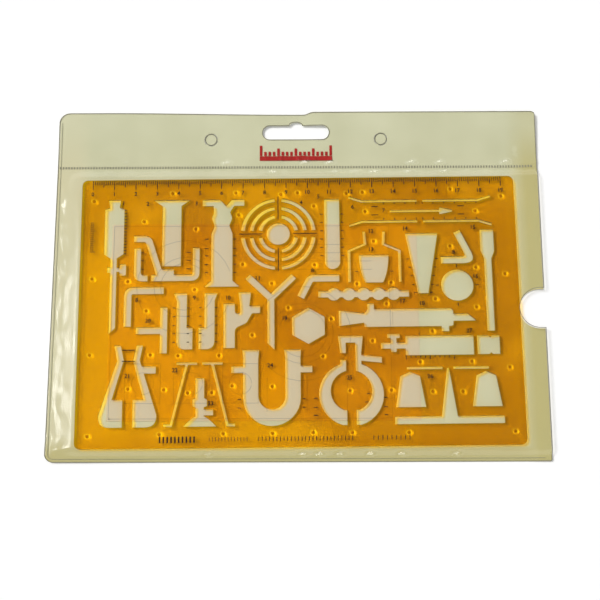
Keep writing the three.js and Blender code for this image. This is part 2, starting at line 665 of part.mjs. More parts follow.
// A place on the layout as a place on the plate
function onPlate([x, y]) {
  return [(x / LAYOUT_WIDTH) * PLATE_WIDTH, (y / LAYOUT_HEIGHT) * PLATE_HEIGHT];
}

// A cutter through the plate and its bosses
function through(shape, at) {
  return prism(shape, -BOSS_HEIGHT - OVERSHOOT, PLATE_THICKNESS + OVERSHOOT, onPlate(at));
}

function boss(at) {
  const root = PLATE_THICKNESS / 2;
  const foot = BOSS_DIAMETER / 2;
  const profile = [[0, -BOSS_HEIGHT], [BOSS_TIP / 2, -BOSS_HEIGHT], [foot, 0], [foot, root], [0, root]];
  const geometry = new THREE.LatheGeometry(profile.map(([x, y]) => new THREE.Vector2(x, y)), BOSS_SIDES);
  geometry.rotateX(Math.PI / 2);
  const [x, y] = onPlate(at);
  geometry.translate(x, y, 0);
  return solid(geometry);
}

// The plate lies on z = 0, with its bosses below and its lower left corner at the origin
function stencilPlate() {
  const blank = prism(rectangle(0, 0, PLATE_WIDTH, PLATE_HEIGHT, PLATE_CORNER), 0, PLATE_THICKNESS);
  const bevelFoot = PLATE_HEIGHT - BEVEL_WIDTH;
  const bevelPast = PLATE_HEIGHT + BEVEL_WIDTH;
  const bevel = solid(new ConvexGeometry([-OVERSHOOT, PLATE_WIDTH + OVERSHOOT].flatMap((x) => [
    new THREE.Vector3(x, bevelFoot, PLATE_THICKNESS),
    new THREE.Vector3(x, bevelPast, PLATE_THICKNESS - 2 * BEVEL_DROP),
    new THREE.Vector3(x, bevelPast, PLATE_THICKNESS + OVERSHOOT),
    new THREE.Vector3(x, bevelFoot, PLATE_THICKNESS + OVERSHOOT),
  ])));
  const rebates = [[-OVERSHOOT, REBATE_WIDTH], [PLATE_WIDTH - REBATE_WIDTH, PLATE_WIDTH + OVERSHOOT]].map(
    ([left, right]) => {
      const strip = rectangle(left, -OVERSHOOT, right, PLATE_HEIGHT + OVERSHOOT);
      return prism(strip, -OVERSHOOT, REBATE_DEPTH);
    },
  );
  const cutOuts = SYMBOLS.flatMap(([draw, sizes]) => draw(sizes).map((shape) => through(shape, sizes.at)));
  const flaskLands = roundFlaskLands(ROUND_FLASK).map((shape) => through(shape, ROUND_FLASK.at));
  const flask = roundFlask(ROUND_FLASK).map((shape) => cutAll(through(shape, ROUND_FLASK.at), flaskLands));
  const studded = BOSSES.reduce((plate, at) => plate.add(boss(at)), cutAll(blank, [bevel, ...rebates]));
  return cutAll(studded, [...cutOuts, ...flask]);
}

function pouchOutline() {
  return outline([
    [POUCH_LEFT, POUCH_BOTTOM, CORNER_BOTTOM_LEFT], [POUCH_RIGHT, POUCH_BOTTOM, CORNER_BOTTOM_RIGHT],
    [POUCH_RIGHT, POUCH_TOP, CORNER_TOP_RIGHT], [POUCH_LEFT, POUCH_TOP, CORNER_TOP_LEFT],
  ]);
}

// What is punched through both sheets of the pouch: thumb notch, hang slot and the rings of the filing discs
function punches() {
  const bottom = -OVERSHOOT;
  const top = FILM_UNDERSIDE + FRONT_FILM + OVERSHOOT;
  const radius = NOTCH_WIDTH / 2;
  const notch = new THREE.Shape();
  notch.moveTo(NOTCH_DEPTH, radius);
  notch.lineTo(0, radius);
  notch.absarc(0, 0, radius, Math.PI / 2, 1.5 * Math.PI);
  notch.lineTo(NOTCH_DEPTH, -radius);
  const slotEnd = SLOT_HEIGHT / 2;
  const slot = new THREE.Shape();
  slot.absarc(SLOT_WIDTH / 2 - slotEnd, 0, slotEnd, -Math.PI / 2, Math.PI / 2);
  slot.absarc(slotEnd - SLOT_WIDTH / 2, 0, slotEnd, Math.PI / 2, 1.5 * Math.PI);
  const bumpTop = slotEnd + SLOT_BUMP_RISE;
  const bump = outline(mirrored([[SLOT_BUMP_WIDTH / 2, 0], [SLOT_BUMP_WIDTH / 2, bumpTop, SLOT_BUMP_RISE]]));
  const ring = brokenRing(FILING_DIAMETER / 2, FILING_CUT, FILING_TIES, FILING_TIE);
  const slotAt = [PUNCH_SHIFT, POUCH_TOP - SLOT_BELOW_TOP - slotEnd];
  const filing = [-1, 1].flatMap((side) => {
    const at = [PUNCH_SHIFT + (side * FILING_SPACING) / 2, POUCH_TOP - FILING_BELOW_TOP];
    return ring.map((shape) => prism(shape, bottom, top, at));
  });
  const notchAt = [POUCH_RIGHT - NOTCH_DEPTH + radius, PLATE_BOTTOM + NOTCH_HEIGHT];
  return [
    prism(notch, bottom, top, notchAt), prism(slot, bottom, top, slotAt),
    prism(bump, bottom, top, slotAt), ...filing,
  ];
}

function pouchBackSheet() {
  return cutAll(prism(pouchOutline(), 0, BACK_SHEET), punches());
}

// The room under the film: it slopes up from the welds to clear the plate, and runs out through the mouth
function pocketRoom(lift, floor) {
  const mouth = POUCH_RIGHT + OVERSHOOT;
  const foot = { left: POUCH_LEFT + EDGE_WELD, bottom: POUCH_BOTTOM + EDGE_WELD, top: SEAM - SEAM_WELD / 2 };
  const roof = {
    left: PLATE_MIDDLE[0] - TURNED_WIDTH / 2 - FILM_EASE,
    bottom: PLATE_MIDDLE[1] - TURNED_HEIGHT / 2 - FILM_EASE,
    top: PLATE_MIDDLE[1] + TURNED_HEIGHT / 2 + FILM_EASE,
  };
  const level = ({ left, bottom, top }, z) => [left, mouth].flatMap((x) => [
    new THREE.Vector3(x, bottom, z), new THREE.Vector3(x, top, z),
  ]);
  return solid(new ConvexGeometry([
    ...level(foot, floor), ...level(foot, BACK_SHEET + lift), ...level(roof, FILM_UNDERSIDE + lift),
  ]));
}

function pouchFrontFilm() {
  const flat = prism(pouchOutline(), BACK_SHEET, BACK_SHEET + FRONT_FILM);
  const tall = prism(pouchOutline(), BACK_SHEET, FILM_UNDERSIDE + FRONT_FILM + OVERSHOOT);
  const raised = pocketRoom(FRONT_FILM, BACK_SHEET).intersect(tall);
  return cutAll(flat.add(raised), [pocketRoom(0, BACK_SHEET - OVERSHOOT), ...punches()]);
}

// The leaflet's section, from its fold at the left along both leaves, swept along its height
function leafletGeometry() {
  const outer = LEAFLET_THICKNESS / 2;
  const inner = FOLD_GAP / 2;
  const section = new THREE.Shape();
  section.moveTo(LEAFLET_LOWER, 0);
  section.lineTo(LEAFLET_LOWER, PAPER);
  section.absarc(outer, outer, inner, -Math.PI / 2, Math.PI / 2, true);
  section.lineTo(LEAFLET_UPPER, PAPER + FOLD_GAP);
  section.lineTo(LEAFLET_UPPER, LEAFLET_THICKNESS);
  section.absarc(outer, outer, outer, Math.PI / 2, 1.5 * Math.PI);
  return new THREE.ExtrudeGeometry(section, {
    depth: LEAFLET_HEIGHT,
    bevelEnabled: false,
    curveSegments: CURVE_STEPS,
  });
}

const plate = named('stencil_plate', geometryOf(stencilPlate()), {
  color: 0xdc9800, roughness: 0.18, metalness: 0, transparent: true, opacity: 0.8,
});
plate.geometry.translate(-PLATE_WIDTH / 2, -PLATE_HEIGHT / 2, 0);
plate.rotation.z = TURN;
plate.position.set(...PLATE_MIDDLE, PLATE_UNDERSIDE);

const backSheet = named('pouch_back_sheet', geometryOf(pouchBackSheet()), {
  color: 0xd4d2b2, roughness: 0.4, metalness: 0,
});

const frontFilm = named('pouch_front_film', geometryOf(pouchFrontFilm()), {
  color: 0xf2f0e2, roughness: 0.12, metalness: 0, transparent: true, opacity: 0.25,
});

const leaflet = named('leaflet', leafletGeometry(), { color: 0xded2b9, roughness: 0.85, metalness: 0 });
leaflet.rotation.x = Math.PI / 2;
leaflet.position.set(
  PLATE_LEFT + LEAFLET_FROM_LEFT, PLATE_BOTTOM + LEAFLET_FROM_BOTTOM + LEAFLET_HEIGHT, BACK_SHEET,
);

const stencilInPouch = new THREE.Group();
stencilInPouch.add(backSheet, frontFilm, leaflet, plate);

export default stencilInPouch;
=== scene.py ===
# Looks of a drawing stencil in its pouch: a tinted plate, its printed scales, two PVC sheets and a leaflet.
# Sizes are in millimetres, and become metres where a mesh is made. Angles are in degrees.
import math

import bmesh
import bpy
import numpy as np
from mathutils import Euler, Matrix, Vector, noise
from mathutils.geometry import delaunay_2d_cdt


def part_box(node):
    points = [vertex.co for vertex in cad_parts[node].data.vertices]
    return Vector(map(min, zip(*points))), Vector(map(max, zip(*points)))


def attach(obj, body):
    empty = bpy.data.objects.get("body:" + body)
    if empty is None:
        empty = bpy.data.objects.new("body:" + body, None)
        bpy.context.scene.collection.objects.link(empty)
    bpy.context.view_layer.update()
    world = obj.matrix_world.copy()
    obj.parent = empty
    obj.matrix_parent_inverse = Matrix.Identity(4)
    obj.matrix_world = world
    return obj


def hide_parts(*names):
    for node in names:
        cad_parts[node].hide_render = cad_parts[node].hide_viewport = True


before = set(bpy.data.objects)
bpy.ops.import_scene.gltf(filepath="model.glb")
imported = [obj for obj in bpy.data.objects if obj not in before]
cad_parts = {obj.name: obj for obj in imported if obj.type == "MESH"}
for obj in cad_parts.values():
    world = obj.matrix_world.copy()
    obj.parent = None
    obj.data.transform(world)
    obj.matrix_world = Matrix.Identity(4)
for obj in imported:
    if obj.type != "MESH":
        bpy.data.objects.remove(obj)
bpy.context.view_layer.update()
MM = 0.001


def box_mm(node):
    """The low and the high corner of a CAD node's box."""
    low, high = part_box(node)
    return low / MM, high / MM


# The pouch, the plate and the leaflet as the frame has them
POUCH_LOW, POUCH_HIGH = box_mm("pouch_back_sheet")
PLATE_LOW, PLATE_HIGH = box_mm("stencil_plate")
LEAFLET_LOW, LEAFLET_HIGH = box_mm("leaflet")
LEFT, BOTTOM = POUCH_LOW.x, POUCH_LOW.y
RIGHT, TOP = POUCH_HIGH.x, POUCH_HIGH.y
SHEET_TOP = POUCH_HIGH.z
FILM_TOP = box_mm("pouch_front_film")[1].z
PLATE_TOP = PLATE_HIGH.z
PLATE_MIDDLE = (PLATE_LOW + PLATE_HIGH) / 2

# The plate's own size, its bevel along the ruler edge, and how far it lies askew
PLATE_WIDTH = 201
PLATE_HEIGHT = 126
PLATE_TURN = 0.45
BEVEL_WIDTH = 3
BEVEL_DROP = 0.5

# Pouch: corners, welds, punched shapes, and the clear film's thickness
CORNER_TOP_LEFT = 5
CORNER_BOTTOM_LEFT = 4
CORNER_TOP_RIGHT = 2
CORNER_BOTTOM_RIGHT = 0.8
HEADER = 27.1
SEAM = TOP - HEADER
EDGE_WELD = 2
SEAM_WELD = 1.5
FILM = 0.2
FILM_CONTACT = 0.03
NOTCH_RADIUS = 9.2
NOTCH_DEPTH = 11.3
PUNCH_SHIFT = -0.6
SLOT_WIDTH = 31.2
SLOT_HEIGHT = 6.7
SLOT_FROM_TOP = 6.7
SLOT_Y = TOP - SLOT_FROM_TOP - SLOT_HEIGHT / 2
SLOT_BUMP_WIDTH = 6
SLOT_BUMP_RISE = 1.7
FILING_SPACING = 80
FILING_RADIUS = 3
FILING_Y = TOP - 13.4
FILM_CUT = 0.3
SHEET_CUT = 0.26
FILING_TIE = 0.9
FILING_TIES = 3

# Leaflet: its leaves, and the paper that it is folded from
LOWER_LEAF = 141
UPPER_LEAF = 129
PAPER = 0.12

# How finely outlines are drawn, and the smallest radius of a corner
EDGE_STEP = 1
CURVE_STEPS = 24
CORNER_STEPS = 8
CORNER_LEAST = 0.2

# How finely the sheets are meshed, and how far their inner points keep from an outline
SHEET_STEP = 4
SHEET_GAP = 0.5
FILM_STEP = 1.1
FILM_GAP = 0.3
FILM_RINGS = (0.5, 0.9, 1.3, 1.8, 2.4)
FILM_INSET = 3
FILM_MOUTH_INSET = 1
FOLD_STEP = 0.3
PAPER_GAP = 0.05
PAPER_BEND_STEPS = 8
PAPER_BEND_PITCH = 2


def smooth(t):
    """A rise from 0 to 1 with level ends, which stays at 0 before and at 1 after."""
    t = min(max(t, 0), 1)
    return t * t * (3 - 2 * t)


# Flat outlines, as loops of points


def line(start, end, step=EDGE_STEP):
    """Points from start up to, but not including, end."""
    start, end = Vector(start), Vector(end)
    count = max(1, round((end - start).length / step))
    return [start.lerp(end, i / count) for i in range(count)]


def arc(middle, radius, first, last, steps=CURVE_STEPS):
    """Points along an arc between two angles, both ends included."""
    angles = [math.radians(first + (last - first) * i / steps) for i in range(steps + 1)]
    return [Vector((middle[0] + radius * math.cos(a), middle[1] + radius * math.sin(a))) for a in angles]


def joined(corners):
    """A closed loop through runs of points, with straight stretches filled in between the runs."""
    loop = []
    for run, following in zip(corners, corners[1:] + corners[:1]):
        loop += run[:-1] + line(run[-1], following[0])
    return loop


def box_corners(left, bottom, right, top):
    return [(left, bottom), (right, bottom), (right, top), (left, top)]


def pouch_loop(inset=0):
    """The pouch's outline with its thumb notch, or a loop that runs inside it."""
    left, right, bottom, top = LEFT + inset, RIGHT - inset, BOTTOM + inset, TOP - inset
    notch_x = RIGHT - NOTCH_DEPTH + NOTCH_RADIUS

    def corner(x, y, radius, first):
        radius = max(radius - inset, CORNER_LEAST)
        middle = (x - radius if x > 0 else x + radius, y - radius if y > 0 else y + radius)
        return arc(middle, radius, first, first + 90, CORNER_STEPS)

    notch = arc((notch_x, PLATE_MIDDLE.y), NOTCH_RADIUS + inset, 270, 90)
    return joined([
        corner(left, bottom, CORNER_BOTTOM_LEFT, 180),
        corner(right, bottom, CORNER_BOTTOM_RIGHT, 270),
        [Vector((right, notch[0].y)), *notch, Vector((right, notch[-1].y))],
        corner(right, top, CORNER_TOP_RIGHT, 0),
        corner(left, top, CORNER_TOP_LEFT, 90),
    ])


def slot_loop(outset=0):
    """The hang slot, or a loop that runs round it: round ends, and a low bump over its middle."""
    end = SLOT_HEIGHT / 2 + outset
    reach = (SLOT_WIDTH - SLOT_HEIGHT) / 2
    half = SLOT_BUMP_WIDTH / 2 + outset
    bump_top = [Vector((PUNCH_SHIFT + half * math.cos(a), SLOT_Y + end + SLOT_BUMP_RISE * math.sin(a)))
                for a in np.linspace(0, math.pi, CURVE_STEPS)]
    return joined([
        arc((PUNCH_SHIFT + reach, SLOT_Y), end, -90, 90),
        bump_top,
        arc((PUNCH_SHIFT - reach, SLOT_Y), end, 90, 270),
    ])


def filing_middles():
    return [(PUNCH_SHIFT + side * FILING_SPACING / 2, FILING_Y) for side in (-1, 1)]


def filing_loops(cut):
    """The slits round the two filing discs, which ties still hold."""
    loops = []
    tie = math.degrees(FILING_TIE / FILING_RADIUS)
    share = 360 / FILING_TIES
    for middle in filing_middles():
        for i in range(FILING_TIES):
            first, last = i * share + tie / 2, (i + 1) * share - tie / 2
            outer = arc(middle, FILING_RADIUS + cut / 2, first, last)
            inner = arc(middle, FILING_RADIUS - cut / 2, last, first)
            loops.append(outer + inner)
    return loops


def inside(points, loop):
    """Which points lie inside a loop, by counting how often a level line crosses it."""
    x, y = points[:, 0], points[:, 1]
    found = np.zeros(len(points), bool)
    for a, b in zip(loop, loop[1:] + loop[:1]):
        if a.y == b.y:
            continue
        crosses = (a.y > y) != (b.y > y)
        found ^= crosses & (x < a.x + (y - a.y) * (b.x - a.x) / (b.y - a.y))
    return found


def clear_of(points, others, gap):
    """The points that lie at least a gap away from all the others."""
    others = np.array(others)
    near = [np.min(np.sum((others - p) ** 2, axis=1)) for p in points]
    return points[np.array(near) > gap ** 2]


# The triangulation keeps what lies inside the loops, and joins points that are closer than this
KEEP_INSIDE = 1
JOIN_BELOW = 1e-6


def triangulated(loops, inner, gap):
    """Triangles inside the first loop and outside the others, with the inner points that keep a gap."""
    rim = [p for loop in loops for p in loop]
    inner = np.array(inner)
    inner = clear_of(inner[inside(inner, loops[0])], [tuple(p) for p in rim], gap)
    edges = []
    for loop in loops:
        start = len(edges)
        edges += [(start + i, start + (i + 1) % len(loop)) for i in range(len(loop))]
    points = rim + [Vector(p) for p in inner]
    flat, _, faces, *_ = delaunay_2d_cdt(points, edges, [], KEEP_INSIDE, JOIN_BELOW)
    middles = np.array([sum((flat[i] for i in f), Vector((0, 0))) / len(f) for f in faces])
    kept = inside(middles, loops[0])
    for hole in loops[1:]:
        kept &= ~inside(middles, hole)
    return flat, [tuple(f) for f, keep in zip(faces, kept) if keep]


def grid(left, right, bottom, top, step):
    """Points in even rows and columns over a box, its edges included."""
    columns = np.linspace(left, right, round((right - left) / step) + 1)
    rows = np.linspace(bottom, top, round((top - bottom) / step) + 1)
    return [(x, y) for x in columns for y in rows]


# Meshes

SOFT_ANGLE = 40


def add_object(name, vertices, faces, material, soft_angle=None):
    """A mesh object from points in millimetres, smooth where its faces meet at less than the soft angle."""
    mesh = bpy.data.meshes.new(name)
    mesh.from_pydata([Vector(v) * MM for v in vertices], [], faces)
    mesh.materials.append(material)
    if soft_angle:
        mesh.polygons.foreach_set("use_smooth", [True] * len(mesh.polygons))
        mesh.set_sharp_from_angle(angle=math.radians(soft_angle))
    mesh.update()
    made = bpy.data.objects.new(name, mesh)
    bpy.context.scene.collection.objects.link(made)
    return made


def thick_sheet(name, loops, inner, place, material, gap=SHEET_GAP):
    """A closed sheet over a flat outline: place gives each flat point's spot on the front and on the back."""
    flat, triangles = triangulated(loops, inner, gap)
    count = len(flat)
    vertices = [place(p, True) for p in flat] + [place(p, False) for p in flat]
    back = [tuple(count + i for i in reversed(t)) for t in triangles]
    directed = {(a, b) for t in triangles for a, b in zip(t, t[1:] + t[:1])}
    walls = [(b, a, count + a, count + b) for a, b in directed if (b, a) not in directed]
    return add_object(name, vertices, triangles + back + sorted(walls), material, SOFT_ANGLE)


# How the pouch lies: its header curls up beside a crease, and so do its mouth and its lower left corner
HEADER_LIFT_LEFT = 1.2
HEADER_LIFT_RIGHT = 1.9
CREASE_X = 3
CREASE_WIDTH = 4
CREASE_FLARE = 30
MOUTH_LIFT = 0.7
MOUTH_REACH = 12
CORNER_LIFT = 0.6
CORNER_REACH_X = 60
CORNER_REACH_Y = 14

# How the header's top edge dips towards the crease
BOW = 1.2
BOW_HEIGHT = 5
BOW_START = LEFT + 20
BOW_END = 5


def lift(x, y):
    """How far the pouch rises off the table."""
    up = smooth((y - SEAM) / HEADER)
    right = smooth((x - CREASE_X) / (CREASE_WIDTH + CREASE_FLARE * (1 - up)))
    header = up * (HEADER_LIFT_LEFT + (HEADER_LIFT_RIGHT - HEADER_LIFT_LEFT) * right)
    mouth = MOUTH_LIFT * smooth((x - RIGHT + MOUTH_REACH) / MOUTH_REACH) * (1 - up)
    near_left = smooth((LEFT + CORNER_REACH_X - x) / CORNER_REACH_X)
    near_bottom = smooth((BOTTOM + CORNER_REACH_Y - y) / CORNER_REACH_Y)
    return header + mouth + CORNER_LIFT * near_left * near_bottom


def bowed(x, y):
    """A point's y, where the header's top edge dips."""
    dip = smooth((x - BOW_START) / (CREASE_X - BOW_START)) * (1 - smooth((x - CREASE_X) / BOW_END))
    return y - BOW * dip * smooth((y - TOP + BOW_HEIGHT) / BOW_HEIGHT)


def sheet_place(p, front):
    """The spot of a flat point on the back sheet's front or back."""
    x, y = p
    return (x, bowed(x, y), lift(x, y) + (SHEET_TOP if front else 0))


# How the film lies on the back sheet and the plate


def edge_distance(x, y):
    """How far a point lies from the nearest welded edge. The mouth, on the right, isn't welded."""
    radius = CORNER_TOP_LEFT if y > 0 else CORNER_BOTTOM_LEFT
    near_x = LEFT + radius - x
    near_y = abs(y) - TOP + radius
    if near_x > 0 and near_y > 0:
        return radius - math.hypot(near_x, near_y)
    return radius - max(near_x, near_y)


def seam_distance(y):
    """How far a point lies from the seam's weld."""
    return abs(y - SEAM) - SEAM_WELD / 2


def weld_distance(x, y):
    """How far a point lies from the nearest weld, along an edge or at the seam."""
    return min(edge_distance(x, y) - EDGE_WELD, seam_distance(y))


def wave(x, y, size, seed):
    """Noise between -1 and 1, with features of about a size. Each seed gives another one."""
    return noise.noise(Vector((x / size, y / size, seed)))


def eased(t, straight):
    """A rise from 0 to 1, between an S-shaped and a straight one."""
    return smooth(t) + (min(max(t, 0), 1) - smooth(t)) * straight


# Rise from the welds: slow at the seam, and straight on the left, less so higher up where the film is slack
SEAM_EASE = 1.6
SLACK = 0.6
SLACK_FROM = -10
SLACK_REACH = 50


def pocket_rise(x, y):
    """From 0 at the pocket's welds to 1 over the plate. The film is drawn taut at the lower left."""
    left = (x - LEFT - EDGE_WELD) / (PLATE_LOW.x - LEFT - EDGE_WELD)
    bottom = (y - BOTTOM - EDGE_WELD) / (PLATE_LOW.y - BOTTOM - EDGE_WELD)
    top = (SEAM - SEAM_WELD / 2 - y) / (SEAM - SEAM_WELD / 2 - PLATE_HIGH.y)
    straight = 1 - SLACK * smooth((y - SLACK_FROM) / SLACK_REACH)
    return eased(left, straight) * smooth(bottom) * smooth(max(top, 0) ** SEAM_EASE)


# Puckers along the welds: coarse and fine ones, drawn out along y, higher at the seam than elsewhere
PUCKER_SIZE = 4.5
PUCKER_FINE_SIZE = 2.2
PUCKER_FINE_SHARE = 0.6
PUCKER_STRETCH = 2
PUCKER_HEIGHT = 0.4
PUCKER_SEAM_HEIGHT = 1
PUCKER_SEAM_REACH = 4
PUCKER_START = 1.2
PUCKER_FULL = 3
PUCKER_FADE = 9


def pucker(x, y):
    """Small folds where the slack film gathers along the welds and round the plate."""
    drawn = y / PUCKER_STRETCH
    along = wave(x, drawn, PUCKER_SIZE, seed=3)
    along += PUCKER_FINE_SHARE * wave(x, drawn, PUCKER_FINE_SIZE, seed=8)
    near_seam = 1 - smooth((seam_distance(y) - PUCKER_SEAM_REACH) / PUCKER_SEAM_REACH)
    height = PUCKER_HEIGHT + (PUCKER_SEAM_HEIGHT - PUCKER_HEIGHT) * near_seam
    off_weld = weld_distance(x, y)
    fade = 1 - smooth((off_weld - PUCKER_FULL) / PUCKER_FADE)
    return height * along * smooth(off_weld / PUCKER_START) * fade


# Swell over the plate, ripples everywhere, and the looser film on the right of the header
FILM_REST = SHEET_TOP + FILM_CONTACT
SWELL = 0.12
SWELL_SIZE = 28
RIPPLE = 0.04
RIPPLE_SIZE = 18
LOOSE = 0.4
LOOSE_SIZE = 6
LOOSE_FROM_X = 50
LOOSE_REACH_X = 40
LOOSE_REACH_Y = 6


def draped(x, y):
    """The height of the film's underside, without its folds."""
    rise = pocket_rise(x, y)
    over_plate = FILM_TOP - FILM + SWELL * (1 + wave(x, y, SWELL_SIZE, seed=1)) * rise
    loose = smooth((x - LOOSE_FROM_X) / LOOSE_REACH_X) * smooth((y - SEAM) / LOOSE_REACH_Y)
    slack = pucker(x, y) * (1 - rise) + RIPPLE * wave(x, y, RIPPLE_SIZE, seed=5)
    slack += LOOSE * wave(x, y, LOOSE_SIZE, seed=13) * loose
    return max(FILM_REST, FILM_REST + (over_plate - FILM_REST) * rise + slack)


# Folds where the film gathers beside the seam and the bottom weld, by their x. Their faces lean to the left.
FOLDS_ABOVE_SEAM = (-33, 3.5, 15.5, 54, 67, 98)
FOLDS_BELOW_SEAM = (-11, 18, 27.5, 36.5, 52.5, 69)
FOLDS_AT_BOTTOM = (-40, 2, 9.5, 18.5, 32, 46, 70)
FOLD_FROM_SEAM = 2.2
FOLD_FROM_BOTTOM = 3.3
FOLD_FACE = Vector((1.7, 1))
FOLD_REACH = 2 * FOLD_FACE
FOLD_START = 0.8
FOLD_SLOPE = Vector((0.3, 0.03))
FOLD_SLOPE_GAIN = 0.001
FOLD_CROWN = Vector((0.015, 0.05))
FOLDS_END = FOLD_FROM_SEAM + FOLD_REACH.y


def make_folds():
    """Each fold's middle, its slopes along x and y, and its height."""
    places = [Vector((x, SEAM + FOLD_FROM_SEAM)) for x in FOLDS_ABOVE_SEAM]
    places += [Vector((x, SEAM - FOLD_FROM_SEAM)) for x in FOLDS_BELOW_SEAM]
    places += [Vector((x, BOTTOM + FOLD_FROM_BOTTOM)) for x in FOLDS_AT_BOTTOM]
    folds = []
    for place in places:
        slope = FOLD_SLOPE + FOLD_SLOPE_GAIN * place
        folds.append((place, slope, max(draped(*place), FILM_REST + slope.x * FOLD_FACE.x)))
    return folds


FOLDS = make_folds()


def film_under(x, y):
    """The height of the film's underside, where each fold's face takes over from the drape."""
    under = draped(x, y)
    off_weld = weld_distance(x, y)
    if off_weld > FOLDS_END:
        return under
    for place, slope, height in FOLDS:
        away = Vector((x, y)) - place
        outwards = math.hypot(away.x / FOLD_FACE.x, away.y / FOLD_FACE.y)
        share = (1 - smooth(outwards - 1)) * smooth(off_weld / FOLD_START)
        face = height + (slope - FOLD_CROWN * away).dot(away)
        under += (face - under) * share
    return under


# The welded edge: a bead with a groove inside it, with their places from the edge and their half widths
BEAD_HEIGHT = 0.22
BEAD_INSET = 0.9
BEAD_HALF = 0.45
GROOVE_DEPTH = 0.05
GROOVE_INSET = 1.9
GROOVE_HALF = 0.3


def film_bead(x, y):
    """How far the film's front stands out at the welded edge."""
    inset = edge_distance(x, y)
    bead = BEAD_HEIGHT * math.exp(-((inset - BEAD_INSET) / BEAD_HALF) ** 2)
    return bead - GROOVE_DEPTH * math.exp(-((inset - GROOVE_INSET) / GROOVE_HALF) ** 2)


def film_place(p, front):
    """The spot of a flat point on the film's front or back."""
    x, y = p
    under = film_under(x, y) + lift(x, y)
    top = under + FILM + max(film_bead(x, y), -FILM / 2)
    return (x, bowed(x, y), top if front else under)


# Shader nodes


def node(tree, kind, inputs=None, **settings):
    """A shader node, with its inputs set to values or linked to other nodes' outputs."""
    made = tree.nodes.new(kind)
    for key, value in settings.items():
        setattr(made, key, value)
    for key, value in (inputs or {}).items():
        if isinstance(value, bpy.types.NodeSocket):
            tree.links.new(value, made.inputs[key])
        else:
            made.inputs[key].default_value = value
    return made


def new_tree(name):
    """A new material, and its node tree without any nodes."""
    material = bpy.data.materials.new(name)
    material.use_nodes = True
    material.node_tree.nodes.clear()
    return material, material.node_tree


def finish_surface(tree, shader):
    node(tree, "ShaderNodeOutputMaterial", {"Surface": shader})


def compute(tree, operation, first, second=0, use_clamp=False):
    """The result of one step of arithmetic on two values."""
    made = node(tree, "ShaderNodeMath", {0: first, 1: second}, operation=operation, use_clamp=use_clamp)
    return made.outputs[0]


def object_place(tree):
    """The object's own coordinates in metres, as X, Y and Z."""
    coords = node(tree, "ShaderNodeTexCoord").outputs["Object"]
    return node(tree, "ShaderNodeSeparateXYZ", {"Vector": coords}).outputs


def object_noise(tree, scale, detail=3, stretch=(1, 1, 1)):
    """A noise value over the object's own coordinates. Scale counts features in a metre."""
    coords = node(tree, "ShaderNodeTexCoord").outputs["Object"]
    spread = node(tree, "ShaderNodeMapping", {"Vector": coords, "Scale": stretch}).outputs["Vector"]
    made = node(tree, "ShaderNodeTexNoise", {"Vector": spread, "Scale": scale, "Detail": detail})
    return made.outputs["Fac"]


def ramp(tree, value, start, end, low=0, high=1):
    """A number that goes from low to high while a value goes from start to end."""
    limits = {"From Min": start, "From Max": end, "To Min": low, "To Max": high}
    return node(tree, "ShaderNodeMapRange", {"Value": value, **limits}).outputs["Result"]


# Most noise values lie between these
NOISE_LOW = 0.3
NOISE_HIGH = 0.7


def between(tree, value, low, high):
    """A noise value as a number between two limits."""
    return ramp(tree, value, NOISE_LOW, NOISE_HIGH, low, high)


# The mix node's two inputs and its output, by the kind of value that it mixes
MIX_SOCKETS = {"VECTOR": (4, 5, 1), "RGBA": (6, 7, 2)}


def mix(tree, kind, share, first, second):
    """A value between two others of the same kind."""
    a, b, result = MIX_SOCKETS[kind]
    return node(tree, "ShaderNodeMix", {0: share, a: first, b: second}, data_type=kind).outputs[result]


def colour_mix(tree, share, first, second):
    """A colour between two others, each of which is a plain colour or a node's output."""
    ends = [c if isinstance(c, bpy.types.NodeSocket) else (*c, 1) for c in (first, second)]
    return mix(tree, "RGBA", share, *ends)


def shader_mix(tree, share, first, second):
    return node(tree, "ShaderNodeMixShader", {0: share, 1: first, 2: second}).outputs[0]


def bump(tree, height, strength, distance):
    """A normal that is roughened by a height."""
    made = node(tree, "ShaderNodeBump", {"Height": height, "Strength": strength, "Distance": distance * MM})
    return made.outputs["Normal"]


# Materials

WHITE = (1, 1, 1, 1)

# Tinted plastic: its tint at left and right, lighter on the left with painted light; a painted highlight on
# the bosses' sides and painted shade at their tips; and the lamp light that walls and bosses pass
PLASTIC_LEFT = (0.81, 0.54, 0.003)
PLASTIC_RIGHT = (0.675, 0.42, 0.002)
TINT_AND_LIGHT_DRIFT = (0.4, 0.6)
BOSS_SIDE_PAINTED_HIGHLIGHT = (1.0, 1.0, 0.3)
BOSS_TIP_PAINTED_SHADE = (0.4, 0.19, 0.0)
TRAPPED_LIGHT = (0.1, 0.04, 0.0)
GATHERED_LIGHT = (4.2, 3.4, 1.5)

# Walls and bosses are told by how level their faces lie, from 0 for upright to 1 for flat
WALL_LEVEL = 0.35
BOSS_LEVEL = 0.95
BOSS_SIDE_LEAN = 0.58
BOSS_TIP_Z = 1


